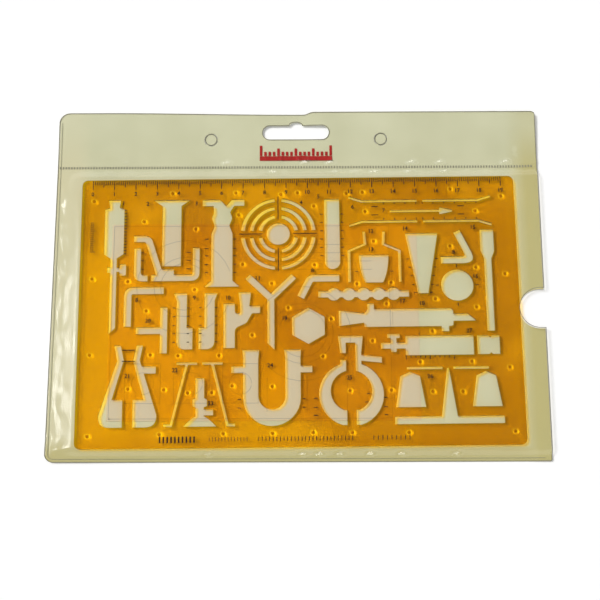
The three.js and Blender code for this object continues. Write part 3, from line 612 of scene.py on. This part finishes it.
def tinted_plastic():
    """Clear tinted plastic. Lamp light comes through tinted, but what enters by a wall is mostly trapped."""
    material, tree = new_tree("tinted_plastic")
    place = object_place(tree)
    shape = node(tree, "ShaderNodeNewGeometry").outputs
    lean = node(tree, "ShaderNodeSeparateXYZ", {"Vector": shape["True Normal"]}).outputs
    level = compute(tree, "ABSOLUTE", lean["Z"])
    wall = compute(tree, "LESS_THAN", level, WALL_LEVEL)
    not_wall = compute(tree, "GREATER_THAN", level, WALL_LEVEL)
    not_flat = compute(tree, "LESS_THAN", level, BOSS_LEVEL)
    flat = compute(tree, "GREATER_THAN", level, BOSS_LEVEL)
    underneath = compute(tree, "LESS_THAN", place["Z"], BOSS_TIP_Z * MM)
    boss_side = compute(tree, "MULTIPLY", not_wall, not_flat)
    boss_tip = compute(tree, "MULTIPLY", underneath, flat)
    sideways = compute(tree, "DIVIDE", compute(tree, "ABSOLUTE", lean["X"]), BOSS_SIDE_LEAN)
    gathers = compute(tree, "MULTIPLY", boss_side, sideways)

    # Lighter at the left and darker at the right, with random unevenness: partly the plastic's own tint,
    # partly painted light falling from the left.
    drift = compute(tree, "ADD", object_noise(tree, scale=18), place["X"])
    tint_and_painted_light = colour_mix(tree, ramp(tree, drift, *TINT_AND_LIGHT_DRIFT), PLASTIC_LEFT, PLASTIC_RIGHT)
    # A painted highlight on the bosses' sides and painted shade at their tips, put into the plastic's colour.
    tint_and_painted_light = colour_mix(tree, gathers, tint_and_painted_light, BOSS_SIDE_PAINTED_HIGHLIGHT)
    tint_and_painted_light = colour_mix(tree, boss_tip, tint_and_painted_light, BOSS_TIP_PAINTED_SHADE)
    scratches = object_noise(tree, scale=900, detail=2, stretch=(1, 0.04, 1))
    scratched = bump(tree, scratches, strength=0.04, distance=0.02)
    upright = node(tree, "ShaderNodeCombineXYZ", {"Z": compute(tree, "SIGN", lean["Z"])}).outputs[0]
    glass = node(tree, "ShaderNodeBsdfPrincipled", {
        "Base Color": tint_and_painted_light,
        "Roughness": between(tree, object_noise(tree, scale=120), low=0.01, high=0.05),
        "IOR": 1.5,
        "Transmission Weight": 0.95,
        "Normal": mix(tree, "VECTOR", boss_side, scratched, upright),
    }).outputs["BSDF"]

    passed = node(tree, "ShaderNodeGamma", {"Color": tint_and_painted_light, "Gamma": 0.5}).outputs[0]
    enters_wall = compute(tree, "MULTIPLY", wall, shape["Backfacing"])
    passed = colour_mix(tree, enters_wall, passed, TRAPPED_LIGHT)
    passed = colour_mix(tree, gathers, passed, GATHERED_LIGHT)
    through = node(tree, "ShaderNodeBsdfTransparent", {"Color": passed}).outputs[0]
    lamp_ray = node(tree, "ShaderNodeLightPath").outputs["Is Shadow Ray"]
    finish_surface(tree, shader_mix(tree, lamp_ray, glass, through))
    return material


# Clear film: its tint, its faint haze, and how strongly it mirrors
FILM_TINT = (0.975, 0.97, 0.945, 1)
FILM_HAZE = (0.8, 0.79, 0.7, 1)
FILM_IOR = 1.6


def clear_film():
    """Clear PVC film. Only its outer faces mirror."""
    material, tree = new_tree("clear_film")
    normal = bump(tree, object_noise(tree, scale=260, detail=2), strength=0.06, distance=0.1)
    clear = node(tree, "ShaderNodeBsdfTransparent", {"Color": FILM_TINT}).outputs[0]
    haze = node(tree, "ShaderNodeBsdfDiffuse", {"Color": FILM_HAZE, "Normal": normal}).outputs[0]
    hazy = between(tree, object_noise(tree, scale=45), low=0.0005, high=0.002)
    gloss = node(tree, "ShaderNodeBsdfGlossy", {
        "Color": WHITE,
        "Roughness": between(tree, object_noise(tree, scale=60), low=0.12, high=0.24),
        "Normal": normal,
    }).outputs[0]
    mirror = node(tree, "ShaderNodeFresnel", {"IOR": FILM_IOR, "Normal": normal}).outputs[0]
    inner_face = node(tree, "ShaderNodeNewGeometry").outputs["Backfacing"]
    mirror = compute(tree, "SUBTRACT", mirror, inner_face, use_clamp=True)
    finish_surface(tree, shader_mix(tree, mirror, shader_mix(tree, hazy, clear, haze), gloss))
    return material


# Cream PVC: its mottling from dark to light, a painted sheen on its left margin, and its right and low
# margins, darker and yellower
CREAM_DARK = (0.70, 0.715, 0.505)
CREAM_LIGHT = (0.955, 0.97, 0.765)
CREAM_PAINTED_SHEEN = (0.89, 0.86, 0.635)
CREAM_DARKER_MARGIN = (0.68, 0.625, 0.305)

# Where each margin's colour starts and is complete, from its edge, and how strong it is at least and at most
PAINTED_SHEEN_FROM_LEFT = (16.5, 9.5)
DARKER_FROM_RIGHT = (14.5, 5.5)
DARKER_FROM_BOTTOM = (12.75, 4.75)
DARKER_LEAST = 0.14
DARKER_LOW_MOST = 0.9

# The header takes less of these colours than the pocket. The change runs between two heights off the seam.
POCKET_FROM_SEAM = (20, -4)
HEADER_SHARE = 0.3


def metres(start, offsets):
    """Two places that lie off a start, in metres."""
    return [(start + offset) * MM for offset in offsets]


def cream_pvc():
    """Cream PVC sheet, mottled, with a painted sheen on its left margin, and right and low margins that are
    darker and yellower.
    """
    material, tree = new_tree("cream_pvc")
    place = object_place(tree)
    left = ramp(tree, place["X"], *metres(LEFT, PAINTED_SHEEN_FROM_LEFT))
    right = ramp(tree, place["X"], *metres(RIGHT, [-d for d in DARKER_FROM_RIGHT]), low=DARKER_LEAST)
    low = ramp(tree, place["Y"], *metres(BOTTOM, DARKER_FROM_BOTTOM), high=DARKER_LOW_MOST)
    pocket = ramp(tree, place["Y"], *metres(SEAM, POCKET_FROM_SEAM), low=HEADER_SHARE)
    # The lighter colour over the left margin is a painted sheen, standing in for the film's glare there.
    painted_sheen = compute(tree, "MULTIPLY", left, pocket)
    # Darker and yellower towards the pocket's right and lower edges.
    darker_margin = compute(tree, "MULTIPLY", compute(tree, "MAXIMUM", right, low), pocket)
    cream = colour_mix(tree, object_noise(tree, scale=40), CREAM_DARK, CREAM_LIGHT)
    cream = colour_mix(tree, painted_sheen, cream, CREAM_PAINTED_SHEEN)
    shader = node(tree, "ShaderNodeBsdfPrincipled", {
        "Base Color": colour_mix(tree, darker_margin, cream, CREAM_DARKER_MARGIN),
        "Roughness": between(tree, object_noise(tree, scale=90), low=0.38, high=0.55),
        "Normal": bump(tree, object_noise(tree, scale=2500), strength=0.1, distance=0.02),
    })
    finish_surface(tree, shader.outputs["BSDF"])
    return material


PAPER_DARK = (0.80, 0.69, 0.50)
PAPER_LIGHT = (0.86, 0.77, 0.60)


def aged_paper():
    """Uncoated paper, yellowed, with fibres that run along the leaflet."""
    material, tree = new_tree("aged_paper")
    fibres = object_noise(tree, scale=1500, detail=4, stretch=(0.3, 1, 1))
    shader = node(tree, "ShaderNodeBsdfPrincipled", {
        "Base Color": colour_mix(tree, object_noise(tree, scale=40), PAPER_DARK, PAPER_LIGHT),
        "Roughness": between(tree, object_noise(tree, scale=200), low=0.8, high=0.95),
        "Normal": bump(tree, fibres, strength=0.15, distance=0.02),
    })
    finish_surface(tree, shader.outputs["BSDF"])
    return material


def ink(name, first, second):
    """Print or a pressed line, uneven between two colours."""
    material, tree = new_tree(name)
    shader = node(tree, "ShaderNodeBsdfPrincipled", {
        "Base Color": colour_mix(tree, object_noise(tree, scale=700), first, second),
        "Roughness": between(tree, object_noise(tree, scale=300), low=0.4, high=0.65),
    })
    finish_surface(tree, shader.outputs["BSDF"])
    return material


PLASTIC = tinted_plastic()
CLEAR = clear_film()
CREAM = cream_pvc()
PAPER_LOOK = aged_paper()
BLACK = ink("dark_print", (0.02, 0.012, 0.006), (0.035, 0.02, 0.01))
RED = ink("red_print", (0.42, 0.015, 0.012), (0.5, 0.025, 0.02))
# A dark line along the cut edges: painted shade.
EDGE_SHADE = ink("painted_edge_shade", (0.16, 0.15, 0.1), (0.30, 0.28, 0.2))
WELD = ink("pressed_weld", (0.25, 0.24, 0.16), (0.42, 0.40, 0.29))
GREY = ink("grey_print_and_edge_shade", (0.52, 0.47, 0.40), (0.60, 0.55, 0.46))


# The plate and the pouch


def dress_plate():
    """The plate stays as the frame has it, with a material of its own."""
    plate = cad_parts["stencil_plate"]
    plate.data.materials.clear()
    plate.data.materials.append(PLASTIC)


def film_points():
    """Points over the film, closer together along its edge and over its folds."""
    points = [tuple(p) for inset in FILM_RINGS for p in pouch_loop(inset)]
    low, high = BOTTOM + FILM_INSET, TOP - FILM_INSET
    points += grid(LEFT + FILM_INSET, RIGHT - FILM_MOUTH_INSET, low, high, FILM_STEP)
    for place, _, _ in FOLDS:
        low, high = place - FOLD_REACH, place + FOLD_REACH
        points = [(x, y) for x, y in points if not (low.x < x < high.x and low.y < y < high.y)]
        points += grid(low.x, high.x, low.y, high.y, FOLD_STEP)
    return points


def make_pouch():
    """The back sheet and the front film, which take the places of the plain CAD sheets."""
    outlines = [pouch_loop(), slot_loop()]
    loops = outlines + filing_loops(SHEET_CUT)
    points = grid(LEFT, RIGHT, BOTTOM, TOP, SHEET_STEP)
    sheet = thick_sheet("back_sheet", loops, points, sheet_place, CREAM)
    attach(sheet, "pouch")
    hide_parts("pouch_back_sheet")
    loops = outlines + filing_loops(FILM_CUT)
    film = thick_sheet("front_film", loops, film_points(), film_place, CLEAR, FILM_GAP)
    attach(film, "pouch")
    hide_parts("pouch_front_film")


# Printed marks, thin closed slabs that lie on a surface: thickness, lift, widths of strokes and sharpest bend
PRINT = 0.02
PRINT_LIFT = 0.004
HAIR = 0.3
FINE = 0.4
BOLD = 0.44
MITRE_LEAST = 0.3

# Figures in the font's own units: depth, added weight, steps along a curve, and how close points are joined
FIGURE_DEPTH = 0.01
FIGURE_WEIGHT = 0.03
FIGURE_STEPS = 3
FIGURE_JOIN = 1e-5


class Marks:
    """Collects the corners and faces of many small slabs for one mesh."""

    def __init__(self, place):
        self.place = place
        self.vertices = []
        self.faces = []

    def slab(self, loop):
        """A slab over a flat convex loop of points, counter-clockwise."""
        start, count = len(self.vertices), len(loop)
        self.vertices += [self.place(p, height) for height in (PRINT, 0) for p in loop]
        front = [start + i for i in range(count)]
        back = [start + count + i for i in range(count)]
        self.faces.append(tuple(front))
        self.faces.append(tuple(reversed(back)))
        for i in range(count):
            j = (i + 1) % count
            self.faces.append((front[j], front[i], back[i], back[j]))

    def stroke(self, points, width):
        """A stroke of even width along points, with mitred bends and four corners at each point."""
        points = [Vector(p) for p in points]
        ways = [(b - a).normalized() for a, b in zip(points, points[1:])]
        start, count = len(self.vertices), len(points)
        for i, p in enumerate(points):
            before, after = ways[max(i - 1, 0)], ways[min(i, count - 2)]
            middle = (before + after).normalized()
            reach = width / 2 / max(middle.dot(after), MITRE_LEAST)
            side = Vector((-middle.y, middle.x)) * reach
            for q in (p + side, p - side):
                self.vertices += [self.place(q, PRINT), self.place(q, 0)]
        for i in range(count - 1):
            a, b = start + 4 * i, start + 4 * i + 4
            self.faces += [(a, a + 2, b + 2, b), (a + 1, b + 1, b + 3, a + 3)]
            self.faces += [(a + 1, a, b, b + 1), (a + 2, a + 3, b + 3, b + 2)]
        last = start + 4 * (count - 1)
        self.faces += [(start, start + 1, start + 3, start + 2), (last, last + 2, last + 3, last + 1)]

    def number(self, text, at, height):
        """A number in plain figures, centred on a point."""
        curve = bpy.data.curves.new("figures", "FONT")
        curve.body = text
        curve.extrude = FIGURE_DEPTH
        curve.offset = FIGURE_WEIGHT
        curve.resolution_u = FIGURE_STEPS
        figures = bpy.data.objects.new("figures", curve)
        bpy.context.scene.collection.objects.link(figures)
        bpy.context.view_layer.update()
        mesh = bpy.data.meshes.new_from_object(figures.evaluated_get(bpy.context.evaluated_depsgraph_get()))
        shape = bmesh.new()
        shape.from_mesh(mesh)
        bmesh.ops.remove_doubles(shape, verts=shape.verts, dist=FIGURE_JOIN)
        low = Vector([min(v.co[i] for v in shape.verts) for i in range(3)])
        high = Vector([max(v.co[i] for v in shape.verts) for i in range(3)])
        scale = height / (high.y - low.y)
        middle = (low + high) / 2
        start = len(self.vertices)
        shape.verts.index_update()
        for v in shape.verts:
            flat = (v.co - middle).xy * scale + Vector(at)
            self.vertices.append(self.place(flat, PRINT if v.co.z > 0 else 0))
        self.faces += [tuple(start + v.index for v in f.verts) for f in shape.faces]
        shape.free()
        bpy.data.objects.remove(figures)
        bpy.data.curves.remove(curve)
        bpy.data.meshes.remove(mesh)

    def finish(self, name, material, body):
        """Makes the mesh, which rides on a body and takes a material slot."""
        made = add_object(name, self.vertices, self.faces, material)
        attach(made, body)


# Print on the plate, read from the plate's lower left corner

TURN = Matrix.Rotation(math.radians(PLATE_TURN), 2)
PLATE_CENTRE = Vector((PLATE_WIDTH / 2, PLATE_HEIGHT / 2))
BEVEL_START = PLATE_HEIGHT - BEVEL_WIDTH


def on_plate(p, height):
    """A point over the plate's top, which falls away along the ruler edge."""
    p = Vector(p)
    fall = max(0, p.y - BEVEL_START) * BEVEL_DROP / BEVEL_WIDTH
    spot = TURN @ (p - PLATE_CENTRE) + PLATE_MIDDLE.xy
    return (spot.x, spot.y, PLATE_TOP - fall + PRINT_LIFT + height)


# Ruler: where its zero stands, and where the marks of 1, 5 and 10 mm end
RULER_ZERO = 5
RULER_LENGTH = 190
RULER_TOP = 125.6
TICK_ENDS = {1: 123.6, 5: 122.2, 10: 121}
RULER_NUMBER_Y = 119
NUMBER_HEIGHT = 2


def make_ruler():
    """Millimetre marks that follow the bevel, with a number at each centimetre."""
    marks = Marks(on_plate)
    for i in range(RULER_LENGTH + 1):
        end = TICK_ENDS[10 if i % 10 == 0 else 5 if i % 5 == 0 else 1]
        x = RULER_ZERO + i
        bend = [(x, BEVEL_START)] if end < BEVEL_START else []
        marks.stroke([(x, RULER_TOP), *bend, (x, end)], FINE)
    for i in range(RULER_LENGTH // 10 + 1):
        marks.number(str(i), (RULER_ZERO + 10 * i, RULER_NUMBER_Y), NUMBER_HEIGHT)
    marks.finish("ruler_marks", BLACK, "stencil")


# Numbers beside the cut-outs
INDEX_NUMBERS = {
    1: [(19.5, 114.5)], 2: [(30.7, 114)], 3: [(53.3, 114)], 4: [(102, 114)], 5: [(110, 116.7)],
    6: [(125.8, 111.5)], 7: [(140.2, 109.5)], 8: [(26.5, 68), (106.8, 81), (171.8, 89.2)], 9: [(52.8, 68.7)],
    10: [(68.3, 68.6)], 11: [(81.7, 77.8)], 12: [(134.2, 99.6)], 13: [(134, 90.8)], 14: [(150, 100.7)],
    15: [(181.3, 101)], 16: [(181.5, 77.5)], 17: [(147.8, 66.2)], 18: [(156.7, 65)], 19: [(94, 58.6)],
    20: [(31.8, 58.2)], 21: [(22.8, 32.8)], 22: [(44.3, 35.2)], 23: [(60.5, 20)], 24: [(87.2, 37)],
    25: [(122.7, 31)], 26: [(159, 31.2)], 27: [(177.5, 52)],
}


def make_index_numbers():
    marks = Marks(on_plate)
    for number, places in INDEX_NUMBERS.items():
        for at in places:
            marks.number(str(number), at, NUMBER_HEIGHT)
    marks.finish("index_numbers", BLACK, "stencil")


# Level marks beside the cut-outs: the left and right ends of each column, and the heights that its marks have
LEVEL_MARKS = {
    "burette": ([(20, 21.3)], np.arange(90, 111.1, 1.5)),
    "measuring cylinder": ([(28, 29.5), (49, 51)], (82.5, 86.5, 90.3)),
    "gas jar": ([(57.5, 59), (70.4, 71.8)], (80.5, 84.4, 88.5, 92, 96.5)),
    "test tube": ([(110.5, 112), (120.2, 121.5)], np.arange(88, 108.1, 4)),
    "beaker halves": ([(43, 44.3), (49.5, 50.5), (55, 56.2), (62.2, 63.4)], (48, 52, 55.8, 60, 64)),
    "crucible": ([(126.2, 127.8), (142.2, 143.8)], (80.3,)),
    "suction flask": ([(20.4, 26.2)], (44.6, 39.5)),
    "U-tube": ([(72.6, 74.2), (101.6, 103.2)], (17.7, 21.6)),
    "round flask": ([(106.6, 108.4), (138, 139.6)], (14, 17.6, 21.7)),
    "round flask, inside, upper": ([(130.4, 132)], (23.7,)),
    "round flask, inside, lower": ([(129.4, 131)], (19.8,)),
    "long tube": ([(134.5, 137.5), (174.5, 177.5)], (111.4, 107.4)),
}

# Upright marks along the long tube: the start and count of each group, their pitch, and their ends
LONG_TUBE_GROUPS = ((140.2, 4), (158.2, 6))
LONG_TUBE_PITCH = 5
LONG_TUBE_ENDS = ((112.6, 113.6), (104.9, 105.9))

# Level marks beside the sloping sides of the cone
CONE_AT = Vector((157.25, 69.7))
CONE_FOOT = 2.35
CONE_SPREAD = 5.15
CONE_HEIGHT = 28.7
CONE_LEVELS = (70, 73.8, 78, 82, 86)
CONE_GAP = 0.55
CONE_MARK = 1.3

# Marks round the rings and the disc, on four sides: the middle, and how far off it they start and end
CROSSES = (((91.2, 98.8), 7, 18), ((172.9, 73.4), 8.4, 9.8))
FOUR_WAYS = (Vector((1, 0)), Vector((0, 1)), Vector((-1, 0)), Vector((0, -1)))

# The syringe's scale, and the single mark over its barrel
SYRINGE_START = 148.5
SYRINGE_PITCH = 2.17
SYRINGE_MARKS = 11
SYRINGE_TOP = 40.8
SYRINGE_LONG_END = 38.9
SYRINGE_SHORT_END = 39.7
SYRINGE_SINGLE = ((154.7, 51.3), (154.7, 50.2))


def level_ticks(spans, heights):
    return [((a, y), (b, y)) for a, b in spans for y in heights]


def graduation_ticks():
    """Short marks beside the cut-outs, as pairs of ends."""
    ticks = []
    for spans, heights in LEVEL_MARKS.values():
        ticks += level_ticks(spans, heights)
    for x in [start + LONG_TUBE_PITCH * i for start, count in LONG_TUBE_GROUPS for i in range(count)]:
        ticks += [((x, low), (x, high)) for low, high in LONG_TUBE_ENDS]
    for y in CONE_LEVELS:
        near = CONE_FOOT + CONE_SPREAD * (y - CONE_AT.y) / CONE_HEIGHT + CONE_GAP
        far = near + CONE_MARK
        ticks += level_ticks([(CONE_AT.x - far, CONE_AT.x - near), (CONE_AT.x + near, CONE_AT.x + far)], [y])
    for way in FOUR_WAYS:
        ticks += [(Vector(at) + way * start, Vector(at) + way * end) for at, start, end in CROSSES]
    for i in range(SYRINGE_MARKS):
        x = SYRINGE_START + SYRINGE_PITCH * i
        ticks.append(((x, SYRINGE_TOP), (x, SYRINGE_LONG_END if i % 5 == 0 else SYRINGE_SHORT_END)))
    ticks.append(SYRINGE_SINGLE)
    return ticks


def make_graduations():
    marks = Marks(on_plate)
    for tick in graduation_ticks():
        marks.stroke(tick, BOLD)
    marks.finish("graduations", BLACK, "stencil")


# Plain hatching gauges in the plate's lower band: left and right ends, pitch, width and height of the strokes
HATCHES = ((38, 55, 1.7, 0.7, 2.8), (60, 77, 1.4, 0.26, 1.9), (82, 125, 1.6, 0.32, 2), (133, 151, 2, 0.36, 2))
HATCH_Y = 3.8

# A short comb of millimetre marks at the plate's left edge
COMB_X = 4.4
COMB_Y = 91
COMB_LENGTH = 14
COMB_LONG = 2.4
COMB_SHORT = 1.6


def make_gauges():
    marks = Marks(on_plate)
    for left, right, pitch, width, height in HATCHES:
        for x in np.arange(left, right, pitch):
            marks.stroke([(x, HATCH_Y - height / 2), (x, HATCH_Y + height / 2)], width)
    for i in range(COMB_LENGTH + 1):
        length = COMB_LONG if i % 5 == 0 else COMB_SHORT
        marks.stroke([(COMB_X, COMB_Y + i), (COMB_X + length, COMB_Y + i)], FINE)
    marks.finish("hatch_gauges", BLACK, "stencil")


# Print and lines on the film


def on_film(p, height):
    """A point over the film's front."""
    x, y, z = film_place(p, True)
    return (x, y, z + PRINT_LIFT + height)


# The scale printed in red on the header: its bar, and marks of three heights
SCALE_LENGTH = 34
SCALE_BOTTOM = SEAM + 3.25
SCALE_BAR = 2.2
SCALE_GAP = 0.2
SCALE_MARKS = 16
SCALE_GROUP = 4
SCALE_MARK = 1.2
SCALE_TALL = 7.4
SCALE_MIDDLE = 6
SCALE_SHORT = 4.4


def make_header_scale():
    """A plain red scale under the hang slot: a bar with marks of three heights."""
    marks = Marks(on_film)
    left = PUNCH_SHIFT - SCALE_LENGTH / 2
    start, end = ((x, SCALE_BOTTOM + SCALE_BAR / 2) for x in (left, left + SCALE_LENGTH))
    marks.stroke([*line(start, end), end], SCALE_BAR)
    for i in range(SCALE_MARKS + 1):
        x = left + (SCALE_LENGTH - SCALE_MARK) * i / SCALE_MARKS
        tall = SCALE_TALL if i % SCALE_MARKS == 0 else SCALE_MIDDLE if i % SCALE_GROUP == 0 else SCALE_SHORT
        foot = SCALE_BOTTOM + SCALE_BAR + SCALE_GAP
        marks.slab(box_corners(x, foot, x + SCALE_MARK, SCALE_BOTTOM + tall))
    marks.finish("header_scale", RED, "pouch")


# The pressed dashes of the seam, the line inside the edge weld, and a dark line of painted shade along cut
# edges
DASH_PITCH = 1.3
DASH = 0.65
DASH_HEIGHT = 1.1
DASH_INSET = 1
WELD_LINE = 0.18
WELD_LINE_INSET = 1.5
RIM = 0.3


def edge_weld():
    """A line inside the pouch's left and bottom edges, round the corner between them."""
    left, bottom = LEFT + WELD_LINE_INSET, BOTTOM + WELD_LINE_INSET
    radius = CORNER_BOTTOM_LEFT - WELD_LINE_INSET
    bend = arc((left + radius, bottom + radius), radius, 180, 270, CORNER_STEPS)
    start, end = (left, TOP - CORNER_TOP_LEFT), (RIGHT - EDGE_WELD, bottom)
    return line(start, bend[0]) + bend + line(bend[-1], end)[1:]


def make_seam():
    """The pressed marks of the welds: dashes under the header, and a line inside two of the edges."""
    marks = Marks(on_film)
    marks.stroke(edge_weld(), WELD_LINE)
    for i in range(int((RIGHT - LEFT - 2 * DASH_INSET) / DASH_PITCH)):
        x = LEFT + DASH_INSET + DASH_PITCH * i
        marks.slab(box_corners(x, SEAM - DASH_HEIGHT / 2, x + DASH, SEAM + DASH_HEIGHT / 2))
    marks.finish("seam_weld", WELD, "pouch")


def make_rim():
    """A dark line of painted shade along the cut edges of the pouch, the hang slot and the filing discs."""
    marks = Marks(on_film)
    for loop in (pouch_loop(RIM / 2), slot_loop(RIM / 2)):
        marks.stroke([*loop, loop[0]], RIM)
    for middle in filing_middles():
        marks.stroke(arc(middle, FILING_RADIUS - (FILM_CUT + RIM) / 2, 0, 360, 2 * CURVE_STEPS), RIM)
    marks.finish("edge_shade_rim", EDGE_SHADE, "pouch")


# The leaflet

LEAFLET_HEIGHT = LEAFLET_HIGH.y - LEAFLET_LOW.y
BEND_RADIUS = (LEAFLET_HIGH.z - LEAFLET_LOW.z) / 2
BEND_LENGTH = math.pi * BEND_RADIUS
BEND_START = LOWER_LEAF - BEND_RADIUS
UNFOLDED = LOWER_LEAF + UPPER_LEAF - 2 * BEND_RADIUS + BEND_LENGTH


def folded(p, front):
    """The spot of a point of the unfolded paper, on its front or back. The lower leaf comes first."""
    s, y = p
    out = PAPER / 2 if front else -PAPER / 2
    bend = min(max((s - BEND_START) / BEND_LENGTH, 0), 1) * math.pi
    reach = BEND_RADIUS - PAPER / 2 + out
    run = max(0, BEND_START - s) + max(0, s - BEND_START - BEND_LENGTH)
    x = LEAFLET_LOW.x + BEND_RADIUS + run - math.sin(bend) * reach
    z = LEAFLET_LOW.z + BEND_RADIUS - math.cos(bend) * reach
    return (x, LEAFLET_LOW.y + y, z)


def make_leaflet():
    """The folded paper, meshed more finely round its bend."""
    loop = joined([[Vector(corner)] * 2 for corner in box_corners(0, 0, UNFOLDED, LEAFLET_HEIGHT)])
    points = grid(0, UNFOLDED, 0, LEAFLET_HEIGHT, SHEET_STEP)
    for i in range(PAPER_BEND_STEPS + 1):
        s = BEND_START + BEND_LENGTH * i / PAPER_BEND_STEPS
        points += [(s, y) for y in np.arange(PAPER_BEND_PITCH / 2, LEAFLET_HEIGHT, PAPER_BEND_PITCH)]
    leaf = thick_sheet("folded_leaflet", [loop], points, folded, PAPER_LOOK, PAPER_GAP)
    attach(leaf, "leaflet")
    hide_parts("leaflet")


def on_leaflet(p, height):
    """A point over the leaflet's upper leaf, read from its lower left corner."""
    return (LEAFLET_LOW.x + p[0], LEAFLET_LOW.y + p[1], LEAFLET_HIGH.z + PRINT_LIFT + height)


# The leaflet's drawings: painted shade along its edge, open rings, boxes with rings in them, level rules and
# upright stems
EDGE_SHADE_INSET = 1
OVERRUN = 1
RING_RADII = (11, 14, 22)
OPEN_RINGS = (((34, 62), 20, 340), ((88, 40), -160, 160))
BOX_LEFTS = (8, 30, 52)
BOX_BOTTOM = 8
BOX_WIDTH = 16
BOX_HEIGHT = 18
BOX_RING = 5
BOX_RING_END = 350
RULE_HEIGHTS = (70, 74, 78, 82)
RULE_ENDS = (66, 120)
STEM_PLACES = (72, 90, 108)
STEM_ENDS = (4, 20)


def box_path(left, bottom, right, top):
    """A stroke's path round a box, which overruns its first corner."""
    return box_corners(left, bottom, right, top) + [(left, bottom), (left + OVERRUN, bottom)]


def make_leaflet_print():
    """Plain line drawings, and a grey line of painted shade just inside the leaflet's edge."""
    marks = Marks(on_leaflet)
    # A grey line just inside the leaflet's edge: painted shade along the edge.
    marks.stroke(box_path(EDGE_SHADE_INSET, EDGE_SHADE_INSET, UPPER_LEAF - EDGE_SHADE_INSET, LEAFLET_HEIGHT - EDGE_SHADE_INSET), HAIR)
    for radius in RING_RADII:
        for middle, first, last in OPEN_RINGS:
            marks.stroke(arc(middle, radius, first, last), HAIR)
    for left in BOX_LEFTS:
        marks.stroke(box_path(left, BOX_BOTTOM, left + BOX_WIDTH, BOX_BOTTOM + BOX_HEIGHT), HAIR)
        middle = (left + BOX_WIDTH / 2, BOX_BOTTOM + BOX_HEIGHT / 2)
        marks.stroke(arc(middle, BOX_RING, 0, BOX_RING_END), HAIR)
    for y in RULE_HEIGHTS:
        marks.stroke([(x, y) for x in RULE_ENDS], HAIR)
    for x in STEM_PLACES:
        marks.stroke([(x, y) for y in STEM_ENDS], HAIR)
    marks.finish("leaflet_print", GREY, "leaflet")


# Camera

CAMERA_AIM = (1.15, -8.63, 0)
CAMERA_DISTANCE = 566.5
CAMERA_TILT = (14.248, 0.117, -0.209)
CAMERA_SENSOR = 36
CAMERA_LENS = 74.25
CAMERA_NEAR = 10


def make_camera():
    data = bpy.data.cameras.new("camera")
    data.sensor_width = CAMERA_SENSOR
    data.lens = CAMERA_LENS
    data.clip_start = CAMERA_NEAR * MM
    camera = bpy.data.objects.new("camera", data)
    turn = Euler([math.radians(a) for a in CAMERA_TILT], "ZYX")
    camera.rotation_mode = "ZYX"
    camera.rotation_euler = turn
    camera.location = (Vector(CAMERA_AIM) + turn.to_matrix() @ Vector((0, 0, CAMERA_DISTANCE))) * MM
    bpy.context.scene.collection.objects.link(camera)
    bpy.context.scene.camera = camera


# Lamps: the way that light comes from, and how wide and strong each one is

LIGHT_FROM = (-0.52, 0.2, 0.80)
WINDOW_SPREAD = 18
WINDOW_STRENGTH = 2.12
GLINT_SPREAD = 8
GLINT_STRENGTH = 0.16


def make_lamp(name, spread, strength):
    """A far lamp. Spread is the angle that it fills in the sky."""
    data = bpy.data.lights.new(name, "SUN")
    data.angle = math.radians(spread)
    data.energy = strength
    lamp = bpy.data.objects.new(name, data)
    lamp.rotation_euler = Vector(LIGHT_FROM).to_track_quat("Z", "Y").to_euler()
    bpy.context.scene.collection.objects.link(lamp)
    return lamp


def make_lamps():
    """A soft window light, and a small one that shows only as glints."""
    window = make_lamp("window", WINDOW_SPREAD, WINDOW_STRENGTH)
    window.visible_glossy = False
    glint = make_lamp("glint", GLINT_SPREAD, GLINT_STRENGTH)
    glint.visible_diffuse = False


# Floor and surroundings: how bright they look, and how much light they give

FLOOR_SIZE = 6000
FLOOR_DROP = 0.02
FLOOR_COLOUR = (0.95, 0.95, 0.95, 1)
FLOOR_GLOW = 0.16
HORIZON_END = 0.45
CEILING_START = 0.75
HORIZON_SHADE = 1.0
CEILING_SHADE = 0.025
SKY_LIGHT = 0.35


def seen_directly(tree):
    """1 for rays that show the background itself, straight, mirrored or through something clear."""
    path = node(tree, "ShaderNodeLightPath").outputs
    seen = compute(tree, "MAXIMUM", path["Is Camera Ray"], path["Is Glossy Ray"])
    return compute(tree, "MAXIMUM", seen, path["Is Transmission Ray"])


def make_floor():
    """A white floor, which glows a little where it is seen."""
    material, tree = new_tree("white_floor")
    plain = node(tree, "ShaderNodeBsdfDiffuse", {"Color": FLOOR_COLOUR}).outputs[0]
    glow = node(tree, "ShaderNodeEmission", {"Color": WHITE, "Strength": FLOOR_GLOW}).outputs[0]
    bright = node(tree, "ShaderNodeAddShader", {0: plain, 1: glow}).outputs[0]
    finish_surface(tree, shader_mix(tree, seen_directly(tree), plain, bright))
    half = FLOOR_SIZE / 2
    corners = [(x, y, -FLOOR_DROP) for x, y in box_corners(-half, -half, half, half)]
    floor = add_object("floor", corners, [(0, 1, 2, 3)], material)


def make_world():
    """White round the horizon, with a dim ceiling, and a dim even light on the object."""
    world = bpy.data.worlds.new("studio")
    world.use_nodes = True
    tree = world.node_tree
    tree.nodes.clear()
    way = node(tree, "ShaderNodeTexCoord").outputs["Generated"]
    up = node(tree, "ShaderNodeSeparateXYZ", {"Vector": way}).outputs["Z"]
    shade = ramp(tree, up, HORIZON_END, CEILING_START, HORIZON_SHADE, CEILING_SHADE)
    shown = node(tree, "ShaderNodeBackground", {"Color": WHITE, "Strength": shade}).outputs[0]
    light = node(tree, "ShaderNodeBackground", {"Color": WHITE, "Strength": SKY_LIGHT}).outputs[0]
    node(tree, "ShaderNodeOutputWorld", {"Surface": shader_mix(tree, seen_directly(tree), light, shown)})
    bpy.context.scene.world = world


make_camera()
make_lamps()
make_floor()
make_world()
dress_plate()
make_pouch()
make_ruler()
make_index_numbers()
make_graduations()
make_gauges()
make_header_scale()
make_seam()
make_rim()
make_leaflet()
make_leaflet_print()
bpy.context.scene.view_settings.view_transform = "Standard"
